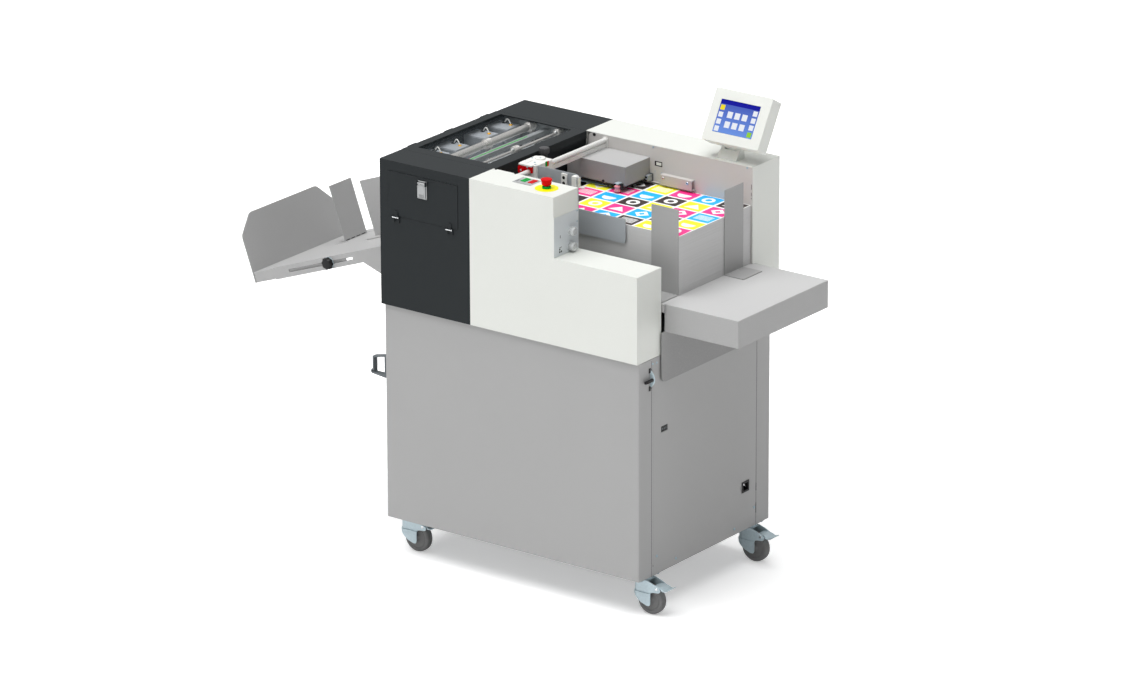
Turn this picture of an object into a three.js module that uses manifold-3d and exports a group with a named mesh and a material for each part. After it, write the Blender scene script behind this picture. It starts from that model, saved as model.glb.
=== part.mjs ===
// A floor-standing machine that creases and perforates sheets of card.
// Millimetres. X runs against the sheets' way, from the delivery tray to the pile feeder.
// Y runs from the operator's side to the back, Z is up from the floor.
import * as THREE from 'three';
import { mergeVertices } from 'three/addons/utils/BufferGeometryUtils.js';
import Module from 'manifold-3d';

const wasm = await Module();
wasm.setup();

// Sizes that many pieces share
const gap = 0.3;
const sheet = 2;
const overrun = 5;
const roundSides = 20;
const smallSides = 10;
const cornerSteps = 2;

// Castors: wheel, swivel fork and brake pedal
const castor = {
  wheel: 80, tread: 24, hub: 34.4, axle: 8, trail: 29.5, headroom: 20, plate: 3,
  plateAlong: 52, plateAcross: 84, cheekOut: 20, cheek: 2.5, race: 26, crown: 4,
  insetAlong: 29.5, insetAcross: 59, rim: 27, dish: 5, play: 0.5, sides: 18,
};
const pedal = { pinAlong: 57, pinUp: 78, pin: 5, hub: 12, reach: 43, width: 40, tread: 3, lip: 8 };
const cheekAlongShares = [-0.54, -0.54, -0.29, 0.3, 0.64, 1.02, 1.3, 1.3, 2.17, 2.3, 1.73, 1.02];
const cheekUpShares = [1, 0.73, 0.11, -0.12, -0.18, -0.24, 0, 0.44, 0.51, 0.67, 0.86, 0.98];

// Cabinet
const cabinet = {
  left: 6, length: 824, near: 7, farInset: 36, height: 597, nearWrap: 62, farWrap: 59,
  floor: 4, deck: 10, angle: 40, angleWall: 4, corner: 4,
};
const inlet = { farInset: 95, width: 32, up: 210, height: 30, flange: 1.7, body: 16, wall: 3, pin: 4, pinDeep: 9 };
const counter = { near: 104, width: 30, up: 487, height: 17, deep: 6, wall: 1.5 };
const bow = { up: 491, height: 62, width: 16, base: 4, bar: 4, reach: 44, armDrop: 9, eye: 13, eyeBore: 6, inset: 1 };
const latch = {
  disc: 54, thick: 6, inset: 15, near: 56, drop: 53, bore: 8, play: 1,
  lever: 33, leverHeight: 12, leverThick: 8, ear: 30, earThick: 3, lip: 5,
};

// Upper unit: the dark creasing unit, the operator cover and the feeder
const unit = { length: 293, depth: 629, height: 400, overhang: 1, nearStrip: 95, farStrip: 123, lidGap: 0.7 };
const operator = { inset: 1, depth: 105, shoulder: 271, step: 163.5, panel: 1.5, panelDrop: 55 };
const notch = { first: 4, pitch: 63, width: 8, deep: 6, high: 10 };
const back = { farInset: 121, thick: 3, inset: 8, corner: 14, topDrop: 2.3 };
const frame = { near: 88, thick: 6.7, farInset: 107, inset: 12, topDrop: 15 };
const lid = {
  thick: 3, overRight: 4, flange: 2, flangeDrop: 18, windowLeft: 25, windowRight: 35,
  windowNear: 131, windowFar: 139, pane: 3, paneLap: 5, barrel: 2.6, barrelOut: 4.8, barrelLength: 34,
  leaf: 1.6, leafDrop: 22, bore: 1.4, web: 3.2,
};
const lidHingeShares = [0.12, 0.5, 0.88];
const hatch = {
  left: 29, right: 37.5, drop: 27.3, height: 120.1, thick: 2, proud: 1, play: 0.6, bore: 1.5,
  barrel: 3.2, barrelLength: 21, hingeInset: 25.5, leaf: 1.2, leafHeight: 14,
};
const handle = { inset: 97, length: 31, drop: 35.5, height: 46.5, base: 2, ear: 3, flap: 2.6, pivot: 6, bore: 1.4 };
const path = { drop: 92, deck: 3, slot: 9, slotNear: 115, slotFar: 129, outletHigh: 40 };
const matrix = { inset: 31, width: 18, high: 9, groove: 3, grooveDeep: 2.4 };
const beam = { width: 16, height: 36, blade: 1.2, bladeHigh: 12, raised: 4.4, relief: 6 };
const roller = { inset: 11, radius: 7, journal: 5, pinch: 0.7, ring: 26, ringGap: 30, neck: 5 };
const toolBar = { drop: 20, radius: 10, head: 26, headRadius: 13.4, cap: 9, capRadius: 6, arm: 7 };
const slimBar = { drop: 20, radius: 4, head: 22, headRadius: 12, cap: 7, capRadius: 5, arm: 5 };
const barPlaceShares = { tool: 0.3891, slim: 0.7099, tie: 0.5392 };
const headPlaceShares = [0.5085, 0.9485];
const ridge = { width: 3, deep: 1.2, pitch: 7 };
const disc = { radius: 20, thick: 1.6, hub: 6, hubThick: 6, pin: 4, tooth: 1, slotWidth: 4, slotLength: 70 };
const shoe = { length: 12, width: 3, foot: 8 };
const block = { left: 4, length: 71, width: 60, height: 38, drop: 25, rail: 10, railLeft: 20, railLength: 40 };
const blockPlaceShares = [0.1903, 0.3822, 0.6794, 0.9017];
const plug = { along: 58, radius: 5, high: 4 };
const tie = { length: 16, height: 12, drop: 22 };

// Controls on the operator cover
const key = { length: 15, width: 28, across: 74.5, start: 127, pitch: 23.5, proud: 2.2, lip: 1.5, deep: 6 };
const estop = {
  inset: 210, across: 53, boss: 11, bossHigh: 6, stem: 6, crown: 15, waist: 10.5, rise: 26,
  travel: 4.2, deep: 12, round: 3,
};
const airKnob = { across: 71, upperDrop: 107, lowerDrop: 148, radius: 12, proud: 15, stem: 3, deep: 14, chamfer: 2 };

// Monitor on its neck
const monitor = {
  inset: 160, lead: 8, rise: 50, width: 180, height: 142.6, depth: 43, tilt: 30, shell: 24, taper: 12,
  screenLeft: 26, screenUp: 26, screenWidth: 124, screenHeight: 89, screenDeep: 1.5, corner: 5,
  pivotBack: 11, pivotUp: 4.6, lug: 8,
};
const neck = { inset: 38, width: 60, ear: 12, nearInset: 11, foot: 40, base: 3 };

// Feeder: table, pile, guides and suction head
const table = {
  inset: 79, drop: 263.5, nearInset: 8, farReach: 7, length: 231, top: 2.5, skirt: 74.5, innerFlange: 22,
  sidePlay: 3, notchPlay: 4, play: 4, apron: 2, apronReach: 7, apronDrop: 211, apronCorner: 18,
};
const runner = { inset: 155, endInset: 82, farInset: 69, column: 10, block: 36, height: 60, arm: 16, armHeight: 34 };
const lift = { travel: 150, slotPlay: 6 };
const pile = { inset: 4, endInset: 4, nearInset: 82, play: 1, topDrop: 104 };
const nearGuide = { endInset: 5, length: 85, foot: 75, thick: 2, height: 232, corner: 2, hole: 5, holePitch: 12 };
const tailGuide = { farInset: 39, width: 83, foot: 62, play: 0.4 };
const guideHoleShares = [0.2, 0.8];
const head = {
  inset: 63.5, length: 144.5, depth: 110, topDrop: 34.4, overPile: 17, sideInset: 17, sideDepth: 106, sideFloor: 4,
};
const rotor = { inset: 137, radius: 16.5, length: 84, nearInset: 12, stem: 4, lift: 2.5, groove: 2, grooves: 3, grooveWidth: 8 };
const bar = { inset: 64, drop: 14, radius: 6.5, rail: 6, railHeight: 12, railDrop: 22, end: 2.7, endLength: 16 };
const carriage = { inset: 32, length: 55, lead: 9, width: 74, rise: 5, height: 35, corner: 6 };
const clamp = { inset: 43.5, drop: 12, half: 10, tail: 14, thick: 8, pin: 5, round: 9.5 };
const sideGuide = {
  play: 4, thick: 2, inset: 72, arm: 144, rise: 4, depth: 74, wing: 151, wingDrop: 88, wingHeight: 66,
  stemLength: 30, corner: 8, block: 13, blockLength: 14, blockDrop: 3, blockHeight: 28,
};
const nozzle = { inset: 252, length: 100, drop: 70, height: 28, proud: 14, wall: 2.5 };
const infeedKnob = {
  inset: 20, across: 297, radius: 14, high: 18, neck: 8, collar: 8, shelf: 3, shelfWidth: 34, stem: 4, deep: 8, flutes: 14,
};

// Delivery tray, in its own sloping plane: length runs down the slope
const tray = {
  slope: 20, drop: 258, near: 110, farInset: 125, length: 484, flange: 33, wall: 2, kink: 166,
  bracketDrop: 137, slotStart: 198, slotLength: 232, slotUp: 16.5, slotHeight: 7, corner: 3,
};
const extension = { start: 224, end: 557, stopHeight: 153, sideHeight: 101, chamfer: 54, round: 8 };
const trayKnob = { along: 284, radius: 17, thick: 14, stem: 3, deep: 5, lobes: 8, lobe: 3 };
const trayStop = { along: 421, farInset: 63, width: 93, height: 156, foot: 20, thick: 2 };
const trayGuide = { start: 120, length: 170, near: 326, height: 156, foot: 38 };

// Levels and faces that follow from the sizes
const castorTop = castor.wheel + castor.headroom;
const cabinetBottom = castorTop + castor.plate;
const split = cabinetBottom + cabinet.height;
const top = split + unit.height;
const cabinetRight = cabinet.left + cabinet.length;
const cabinetFar = unit.depth - cabinet.farInset;
const housingRight = cabinetRight + unit.overhang;
const operatorRight = cabinetRight - operator.inset;
const latchAlong = cabinetRight - latch.inset;
const latchUp = split - latch.drop;
const inletNear = cabinetFar - inlet.farInset - inlet.width;
const pathZ = top - path.drop;
const tableZ = top - table.drop;
const pileTop = top - pile.topDrop;
const backNear = unit.depth - back.farInset;
const frameFar = unit.depth - frame.farInset;

// Places along the creasing unit
const windowLength = unit.length - lid.windowLeft - lid.windowRight;
const windowWidth = unit.depth - lid.windowNear - lid.windowFar;
const hatchLength = unit.length - hatch.left - hatch.right;
const handleLeft = hatch.left + handle.inset;
const matrixAlong = unit.length - matrix.inset;
const rollerAlong = unit.length - roller.inset;
const toolBarAlong = barPlaceShares.tool * unit.length;
const slimBarAlong = barPlaceShares.slim * unit.length;

// Places on the operator cover and over the feeder, from the creasing unit's right face
const startAlong = unit.length + key.start;
const stopAlong = startAlong + key.pitch;
const estopAlong = unit.length + estop.inset;
const infeedAlong = unit.length + infeedKnob.inset;
const headLeft = unit.length + head.inset;
const rotorAlong = unit.length + rotor.inset;
const barAlong = unit.length + bar.inset;
const sideGuideLeft = unit.length + sideGuide.inset;
const sideGuideEnd = sideGuideLeft + sideGuide.arm;
const wingEnd = sideGuideEnd + sideGuide.wing;
const headNear = backNear - head.depth;
const rotorNear = headNear + rotor.nearInset;

// Places of the table, the pile and the monitor, from the cabinet's right side
const tableLeft = unit.length + table.inset;
const tableOuter = cabinetRight + table.play;
const tableEnd = tableOuter + table.length;
const runnerPlaces = [unit.length + runner.inset, cabinetRight - runner.endInset];
const pileStart = tableLeft + pile.inset;
const pileEnd = cabinetRight - pile.endInset;
const pileNear = operator.depth + pile.nearInset;
const sideGuideNear = pileNear - sideGuide.play - sideGuide.thick;
const carriageNear = sideGuideNear - carriage.lead;
const tableAcross = [operator.depth + table.nearInset, backNear + table.farReach];
const tableInner = [operator.depth + table.sidePlay, backNear - table.sidePlay];
const apronNear = operator.depth - table.apronReach;
const runnerAcross = unit.depth - runner.farInset;
const monitorLeft = cabinetRight - monitor.inset;
const neckLeft = monitorLeft + neck.inset;
const monitorNear = backNear - monitor.lead;
const neckNear = backNear + neck.nearInset;

// The delivery tray's width and the place of its cross stop
const trayWidth = unit.depth - tray.farInset - tray.near;
const trayStopNear = tray.near + trayWidth - trayStop.farInset - trayStop.width;

const axisTurns = {
  x: new THREE.Matrix4().makeBasis(
    new THREE.Vector3(0, 1, 0), new THREE.Vector3(0, 0, 1), new THREE.Vector3(1, 0, 0)),
  y: new THREE.Matrix4().makeBasis(
    new THREE.Vector3(1, 0, 0), new THREE.Vector3(0, 0, 1), new THREE.Vector3(0, -1, 0)),
  z: new THREE.Matrix4(),
};

// Turns a closed geometry into a solid: shared corners are merged and slivers of no area dropped
function solid(geometry) {
  const bare = geometry.clone();
  bare.deleteAttribute('normal');
  bare.deleteAttribute('uv');
  const merged = mergeVertices(bare);
  const points = merged.attributes.position.array;
  const corners = [];
  let volume = 0;
  for (let i = 0; i < merged.index.count; i += 3) {
    const [a, b, c] = [0, 1, 2].map((k) => merged.index.getX(i + k));
    if (a === b || b === c || c === a) continue;
    corners.push(a, b, c);
    const [p, q, r] = [a, b, c].map((k) => new THREE.Vector3().fromArray(points, 3 * k));
    volume += p.dot(q.cross(r));
  }
  if (volume < 0) corners.reverse();
  return new wasm.Manifold(new wasm.Mesh({
    numProp: 3,
    vertProperties: new Float32Array(points),
    triVerts: new Uint32Array(corners),
  }));
}

function box(x, y, z) {
  const geometry = new THREE.BoxGeometry(x[1] - x[0], y[1] - y[0], z[1] - z[0]);
  geometry.translate((x[0] + x[1]) / 2, (y[0] + y[1]) / 2, (z[0] + z[1]) / 2);
  return solid(geometry);
}

// A range that starts at a place and runs for a length
function run(start, length) {
  return [start, start + length];
}

// A range of a length round its middle
function about(middle, length) {
  return [middle - length / 2, middle + length / 2];
}

// A closed outline whose corners are rounded by one radius, or by one radius for each corner
function outline(points, radii = 0) {
  const shape = new THREE.Shape();
  points.forEach(([a, b], i) => {
    const here = new THREE.Vector2(a, b);
    const before = new THREE.Vector2(...points.at(i - 1));
    const after = new THREE.Vector2(...points[(i + 1) % points.length]);
    const radius = Array.isArray(radii) ? radii[i] : radii;
    const start = here.clone().add(before.sub(here).setLength(radius));
    const end = here.clone().add(after.sub(here).setLength(radius));
    if (i === 0) shape.moveTo(start.x, start.y);
    else shape.lineTo(start.x, start.y);
    if (radius > 0) shape.quadraticCurveTo(here.x, here.y, end.x, end.y);
  });
  shape.closePath();
  return shape;
}

// An outline pushed along an axis: it lies in (y, z) for x, in (x, z) for y and in (x, y) for z
function prism(axis, shape, range) {
  const geometry = new THREE.ExtrudeGeometry(shape, {
    depth: range[1] - range[0],
    bevelEnabled: false,
    curveSegments: cornerSteps,
  });
  geometry.applyMatrix4(axisTurns[axis]);
  const start = axis === 'y' ? range[1] : range[0];
  const shift = { x: [start, 0, 0], y: [0, start, 0], z: [0, 0, start] };
  geometry.translate(...shift[axis]);
  return solid(geometry);
}

// A profile of [radius, place along the axis] turned round an axis through a centre
function turned(axis, centre, profile, sides = roundSides) {
  const geometry = new THREE.LatheGeometry(profile.map(([r, a]) => new THREE.Vector2(r, a)), sides);
  if (axis === 'x') geometry.rotateZ(-Math.PI / 2);
  if (axis === 'z') geometry.rotateX(Math.PI / 2);
  geometry.translate(...centre);
  return solid(geometry);
}

function rod(axis, centre, range, radius, sides = roundSides) {
  return turned(axis, centre, [[0, range[0]], [radius, range[0]], [radius, range[1]], [0, range[1]]], sides);
}

function join(...solids) {
  return solids.reduce((sum, next) => sum.add(next));
}

function cut(base, ...tools) {
  return tools.reduce((rest, tool) => rest.subtract(tool), base);
}

function paint(colour, roughness = 0.5, metalness = 0) {
  return new THREE.MeshStandardMaterial({ color: colour, roughness, metalness });
}

function piece(name, shape, material) {
  const { vertProperties, triVerts } = shape.getMesh();
  const geometry = new THREE.BufferGeometry();
  geometry.setAttribute('position', new THREE.BufferAttribute(new Float32Array(vertProperties), 3));
  geometry.setIndex(new THREE.BufferAttribute(new Uint32Array(triVerts), 1));
  geometry.computeVertexNormals();
  const mesh = new THREE.Mesh(geometry, material);
  mesh.name = name;
  return mesh;
}

const darkPaint = () => paint('#3a3e41', 0.5);
const whitePaint = () => paint('#e2e4df', 0.45);
const greyPaint = () => paint('#b2b2b2', 0.5);
const framePaint = () => paint('#8e9294', 0.5, 0.2);
const steel = () => paint('#b9bec2', 0.35, 0.9);
const zinc = () => paint('#b2c6cd', 0.4, 0.7);
const blackPlastic = () => paint('#1b1b1b', 0.55);
const silverPlastic = () => paint('#d0d2d2', 0.3, 0.6);

// Cabinet frame: floor plate, deck, four corner angles, castor plates, the creasing unit's side frames
function cabinetFrame() {
  const skin = sheet + gap;
  const x = [cabinet.left + skin, cabinetRight - skin];
  const y = [cabinet.near + skin, cabinetFar - skin];
  const floor = box(x, y, run(cabinetBottom, cabinet.floor));
  const deck = box(x, y, [split - cabinet.deck, split]);
  const posts = [0, 1].flatMap((i) => [0, 1].map((j) => {
    const inX = i ? -1 : 1;
    const inY = j ? -1 : 1;
    const { angle, angleWall } = cabinet;
    const points = [[0, 0], [angle, 0], [angle, angleWall], [angleWall, angleWall], [angleWall, angle], [0, angle]]
      .map(([a, b]) => [x[i] + inX * a, y[j] + inY * b]);
    return prism('z', outline(inX * inY > 0 ? points : points.reverse()), [cabinetBottom, split - sheet]);
  }));
  const plates = castorPlaces().map(([px, py]) => box(
    about(px, castor.plateAlong), about(py, castor.plateAcross), run(castorTop, castor.plate + sheet)));
  const frameTop = top - frame.topDrop;
  const sideOutline = [
    [frame.inset, split - sheet], [unit.length - frame.inset, split - sheet],
    [unit.length - frame.inset, frameTop], [frame.inset, frameTop],
  ];
  const sides = [frame.near, frameFar].map((at) => prism('y', outline(sideOutline), run(at, frame.thick)));
  const columns = runnerPlaces.map((px) => rod(
    'z', [px, runnerAcross, 0], [split - sheet, top - frame.topDrop], runner.column));
  const crossTie = box(
    about(barPlaceShares.tie * unit.length, tie.length), run(frame.near + sheet, frameFar - frame.near), [top - tie.drop - tie.height, top - tie.drop]);
  const bores = [
    [rollerAlong, upperRollerZ(), roller.journal],
    [rollerAlong, lowerRollerZ(), roller.journal],
    [toolBarAlong, top - toolBar.drop, barJournal(toolBar)],
    [slimBarAlong, top - slimBar.drop, barJournal(slimBar)],
  ].map(([px, pz, radius]) => rod(
    'y', [px, 0, pz], [frame.near - overrun, frameFar + frame.thick + overrun], radius + gap, smallSides));
  return cut(join(floor, deck, ...posts, ...plates, ...sides, ...columns, crossTie), ...bores);
}

function barJournal(shaft) {
  return Math.min(shaft.radius, roller.journal);
}

function upperRollerZ() {
  return pathZ + roller.pinch / 2 + roller.radius;
}

function lowerRollerZ() {
  return pathZ - roller.pinch / 2 - roller.radius;
}

function castorPlaces() {
  const x = [cabinet.left + castor.insetAlong, cabinetRight - castor.insetAlong];
  const y = [cabinet.near + castor.insetAcross, cabinetFar - castor.insetAcross];
  return [[x[0], y[0]], [x[1], y[0]], [x[1], y[1]], [x[0], y[1]]];
}

// A folded cover seen from above: a U that is open on one side, as tall as the range
function foldedCover(x, y, openFar, z) {
  const outer = outline([[x[0], y[0]], [x[1], y[0]], [x[1], y[1]], [x[0], y[1]]],
    openFar ? [cabinet.corner, cabinet.corner, 0, 0] : [0, 0, cabinet.corner, cabinet.corner]);
  const inner = box(
    [x[0] + sheet, x[1] - sheet],
    openFar ? [y[0] + sheet, y[1] + overrun] : [y[0] - overrun, y[1] - sheet],
    [z[0] - overrun, z[1] + overrun]);
  return cut(prism('z', outer, z), inner);
}

function cabinetFrontCover() {
  const z = [cabinetBottom, split - gap];
  const cover = foldedCover([cabinet.left, cabinetRight], run(cabinet.near, cabinet.nearWrap), true, z);
  const slot = box(
    [cabinetRight - sheet - overrun, cabinetRight + overrun],
    about(latch.near + latch.thick / 2, latch.thick + 2 * latch.play), about(latchUp, latch.disc));
  const ear = box(
    [latchAlong - latch.ear / 2, cabinetRight - sheet / 2],
    run(latch.near + latch.thick + sheet, latch.earThick), about(latchUp, latch.ear));
  const pin = rod('y', [latchAlong, 0, latchUp],
    [latch.near - sheet, latch.near + latch.thick + sheet + latch.earThick / 2], latch.bore / 2, smallSides);
  return join(cut(cover, slot), ear, pin);
}

function cabinetRearCover() {
  const z = [cabinetBottom, split - gap];
  return foldedCover([cabinet.left, cabinetRight], [cabinetFar - cabinet.farWrap, cabinetFar], false, z);
}

function sidePanel(outer) {
  const inner = outer === cabinetRight ? outer - sheet : outer + sheet;
  return box(
    [Math.min(inner, outer), Math.max(inner, outer)],
    [cabinet.near + cabinet.nearWrap + gap, cabinetFar - cabinet.farWrap - gap],
    [cabinetBottom, split - gap]);
}

// Right panel with the mains cut-out and a shallow box behind the counter window
function rightPanel() {
  const window = [run(counter.near, counter.width), run(counter.up, counter.height)];
  const cup = box(
    [cabinetRight - counter.deep - counter.wall, cabinetRight - sheet / 2],
    run(counter.near - counter.wall, counter.width + 2 * counter.wall),
    run(counter.up - counter.wall, counter.height + 2 * counter.wall));
  const hollow = box([cabinetRight - counter.deep, cabinetRight + overrun], ...window);
  const mains = box(
    [cabinetRight - sheet - overrun, cabinetRight + overrun],
    run(inletNear + inlet.wall, inlet.width - 2 * inlet.wall),
    run(inlet.up + inlet.wall, inlet.height - 2 * inlet.wall));
  return cut(join(sidePanel(cabinetRight), cup), hollow, mains);
}

// Mains inlet: flange, body through the panel, a recess with three pins
function mainsInlet() {
  const face = cabinetRight + gap;
  const across = inletNear + inlet.width / 2;
  const up = inlet.up + inlet.height / 2;
  const room = 2 * inlet.wall + 2 * gap;
  const flange = box(run(face, inlet.flange), run(inletNear, inlet.width), run(inlet.up, inlet.height));
  const body = box(
    [face - inlet.body, face + inlet.flange / 2], about(across, inlet.width - room), about(up, inlet.height - room));
  const recess = box(
    [face - inlet.body + inlet.wall, face + overrun],
    about(across, inlet.width - room - inlet.wall), about(up, inlet.height - room - inlet.wall));
  const pins = [-1, 0, 1].map((side) => box(
    run(face - inlet.body + sheet, inlet.pinDeep),
    about(across + side * 1.5 * inlet.pin, inlet.pin / 2), about(up + (side ? 0 : inlet.pin), inlet.pin)));
  return join(cut(join(flange, body), recess), ...pins);
}

// Bow on the left side: a bent flat bar with an eye in its outer limb
function dockingBow() {
  const wall = cabinet.left - gap;
  const bottom = bow.up;
  const crown = bow.up + bow.height;
  const y = run(cabinet.near + bow.inset, bow.width);
  const shape = outline([
    [wall, bottom], [wall, crown], [wall - bow.base, crown],
    [wall - bow.reach, crown - bow.armDrop], [wall - bow.reach, bottom + bow.bar],
    [wall - bow.base, bottom],
  ].reverse(), 0);
  const hollow = outline([
    [wall - bow.base, bottom + 2 * bow.bar], [wall - bow.base, crown - bow.bar],
    [wall - bow.reach + bow.bar, crown - bow.armDrop - bow.bar], [wall - bow.reach + bow.bar, bottom + 2 * bow.bar],
  ].reverse(), bow.bar / 2);
  const eyeZ = bottom + bow.eye / 2 + bow.bar;
  const eye = rod('y', [wall - bow.reach, 0, eyeZ], y, bow.eye / 2, smallSides);
  const bore = rod('y', [wall - bow.reach, 0, eyeZ], [y[0] - overrun, y[1] + overrun], bow.eyeBore / 2, smallSides);
  return cut(join(prism('y', shape, y), eye), prism('y', hollow, [y[0] - overrun, y[1] + overrun]), bore);
}

// Cam latch: a disc in the slot of the front cover, with a lever on its rim
function sideLatch() {
  const y = run(latch.near, latch.thick);
  const cam = rod('y', [latchAlong, 0, latchUp], y, latch.disc / 2);
  const bore = rod('y', [latchAlong, 0, latchUp],
    [y[0] - overrun, y[1] + overrun], latch.bore / 2 + gap, smallSides);
  const rim = latchAlong + latch.disc / 2;
  const lever = prism('y', outline([
    [rim - latch.leverThick, latchUp - latch.leverHeight / 2], [rim, latchUp - latch.leverHeight / 2],
    [rim, latchUp + latch.leverHeight / 2], [rim - latch.leverThick, latchUp + latch.leverHeight / 2],
  ], latch.lip / 2), [latch.near - latch.lever, latch.near + latch.thick / 2]);
  return join(cut(cam, bore), lever);
}

// Castor fork, in its own place: two cheeks, a crown plate, the race, the axle and the pedal's pin
function castorFork() {
  const axleZ = castor.wheel / 2;
  const crownZ = castorTop - gap - castor.crown;
  const points = cheekAlongShares.map((share, i) => [
    share * castor.trail, axleZ + cheekUpShares[i] * (crownZ - axleZ),
  ]);
  const cheekShape = outline(points);
  const inside = castor.cheekOut - castor.cheek;
  const cheeks = [
    prism('y', cheekShape, [-castor.cheekOut, -inside]),
    prism('y', cheekShape, [inside, castor.cheekOut]),
  ];
  const crown = box(
    [points[0][0], points.at(-1)[0]], [-castor.cheekOut, castor.cheekOut], [crownZ - castor.cheek, crownZ]);
  const race = turned('z', [0, 0, 0], [
    [0, crownZ - castor.cheek], [castor.cheekOut, crownZ - castor.cheek], [castor.race, crownZ],
    [castor.race, castorTop - gap], [0, castorTop - gap],
  ], castor.sides);
  const axle = rod('y', [castor.trail, 0, axleZ], [-castor.cheekOut - sheet, castor.cheekOut + sheet],
    castor.axle / 2, smallSides);
  const pin = rod('y', [pedal.pinAlong, 0, pedal.pinUp], [-castor.cheekOut, castor.cheekOut],
    pedal.pin / 2, smallSides);
  return join(...cheeks, crown, race, axle, pin);
}

// Wheel: a tread with rounded shoulders, dished sides and a hub that runs on the axle
function castorWheel() {
  const half = castor.tread / 2;
  const radius = castor.wheel / 2;
  const bore = castor.axle / 2 + gap;
  const ring = [
    [bore, -castor.hub / 2], [castor.axle, -castor.hub / 2], [castor.axle + castor.dish, -half + castor.dish],
    [castor.rim, -half + castor.dish], [castor.rim, -half], [radius - castor.dish, -half],
    [radius, -half + castor.dish],
  ];
  const mirrored = ring.map(([r, a]) => [r, -a]).reverse();
  return turned('y', [castor.trail, 0, castor.wheel / 2], [...ring, ...mirrored, ring[0]], castor.sides);
}

// Brake pedal: a hub on the pin and a tread plate with a turned-down lip
function castorPedal() {
  const centre = [pedal.pinAlong, 0, pedal.pinUp];
  const inner = castor.cheekOut - castor.cheek - castor.play;
  const hub = rod('y', centre, [-inner, inner], pedal.hub / 2, smallSides);
  const bore = rod('y', centre, [-inner - overrun, inner + overrun], pedal.pin / 2 + gap, smallSides);
  const tread = pedal.tread;
  const end = pedal.pinAlong + pedal.reach;
  const start = pedal.pinAlong - pedal.hub;
  const level = pedal.pinUp + pedal.hub / 2;
  const plate = prism('y', outline([
    [start, level - tread], [end - tread, level - tread + sheet], [end - tread, level - pedal.lip],
    [end, level - pedal.lip], [end, level + sheet], [start, level],
  ]), [-inner, inner]);
  const wide = box([pedal.pinAlong + pedal.hub, end], about(0, pedal.width), run(level - tread + sheet / 2, tread));
  return join(cut(join(hub, plate), bore), wide);
}

// Dark front cover with the hatch opening and the fixed halves of the hatch hinges
function darkFrontCover() {
  const shell = cut(
    box([0, unit.length], [0, unit.nearStrip], [split + gap, top]),
    box([sheet, unit.length - sheet], [sheet, unit.nearStrip + overrun], [split - overrun, top - sheet]));
  const opening = box(
    run(hatch.left - hatch.play, hatchLength + 2 * hatch.play), [-overrun, sheet + overrun],
    [top - hatch.drop - hatch.height - hatch.play, top - hatch.drop + hatch.play]);
  const barrels = hatchHinges().flatMap(({ x, z, y }) => [
    rod('x', [0, y, z], [x[0], x[0] + hatch.barrelLength / 4 - gap], hatch.barrel, smallSides),
    rod('x', [0, y, z], [x[1] - hatch.barrelLength / 4 + gap, x[1]], hatch.barrel, smallSides),
    rod('x', [0, y, z], [x[0] + gap, x[1] - gap], hatch.bore, smallSides),
    box([x[0], x[0] + hatch.barrelLength / 4 - gap], [y, sheet / 2], [z - hatch.leafHeight, z]),
    box([x[1] - hatch.barrelLength / 4 + gap, x[1]], [y, sheet / 2], [z - hatch.leafHeight, z]),
  ]);
  return join(cut(shell, opening), ...barrels);
}

function hatchHinges() {
  const left = hatch.left + hatch.hingeInset - hatch.barrelLength / 2;
  const right = hatch.left + hatchLength - hatch.hingeInset - hatch.barrelLength / 2;
  const z = top - hatch.drop - hatch.height - hatch.barrel;
  return [left, right].map((start) => ({ x: run(start, hatch.barrelLength), y: -hatch.barrel, z }));
}

// Hatch door, standing proud by its own step, with the moving hinge knuckles and the handle's base
function hatchDoor() {
  const door = box(
    run(hatch.left, hatchLength), [-hatch.proud, hatch.thick - hatch.proud],
    run(top - hatch.drop - hatch.height, hatch.height));
  const knuckles = hatchHinges().map(({ x, z, y }) => {
    const span = [x[0] + hatch.barrelLength / 4, x[1] - hatch.barrelLength / 4];
    const sleeve = rod('x', [0, y, z], span, hatch.barrel, smallSides);
    const strap = box(span, [-hatch.barrel, -hatch.proud / 2], [z, z + hatch.barrel + hatch.leafHeight]);
    const bore = rod('x', [0, y, z], [x[0] - overrun, x[1] + overrun], hatch.bore + gap, smallSides);
    return cut(join(sleeve, strap), bore);
  });
  const z = [top - handle.drop - handle.height, top - handle.drop];
  const face = -hatch.proud;
  const base = box(run(handleLeft, handle.length), [face - handle.base, face + hatch.thick / 2], z);
  const ears = [handleLeft, handleLeft + handle.length - handle.ear].map((at) => box(
    run(at, handle.ear), [face - handle.base - handle.pivot, face],
    [z[1] - 2 * handle.pivot, z[1]]));
  const pin = handlePivot();
  const stub = rod('x', [0, pin.y, pin.z], run(handleLeft, handle.length), handle.bore, smallSides);
  return join(door, base, ...ears, stub, ...knuckles);
}

function handlePivot() {
  return {
    y: -hatch.proud - handle.base - handle.pivot / 2,
    z: top - handle.drop - handle.pivot,
  };
}

// Flap handle between the ears, hinged at its top
function hatchHandle() {
  const pin = handlePivot();
  const x = [handleLeft + handle.ear + gap, handleLeft + handle.length - handle.ear - gap];
  const low = top - handle.drop - handle.height;
  const hub = rod('x', [0, pin.y, pin.z], x, handle.pivot / 2 - gap, smallSides);
  const flap = prism('x', outline([
    [pin.y - handle.flap / 2, pin.z], [pin.y - handle.flap / 2, low + handle.flap],
    [pin.y - handle.flap, low], [pin.y + handle.flap / 2, low], [pin.y + handle.flap / 2, pin.z],
  ]), x);
  const bore = rod('x', [0, pin.y, pin.z], [x[0] - overrun, x[1] + overrun], handle.bore + gap, smallSides);
  return cut(join(hub, flap), bore);
}

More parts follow.
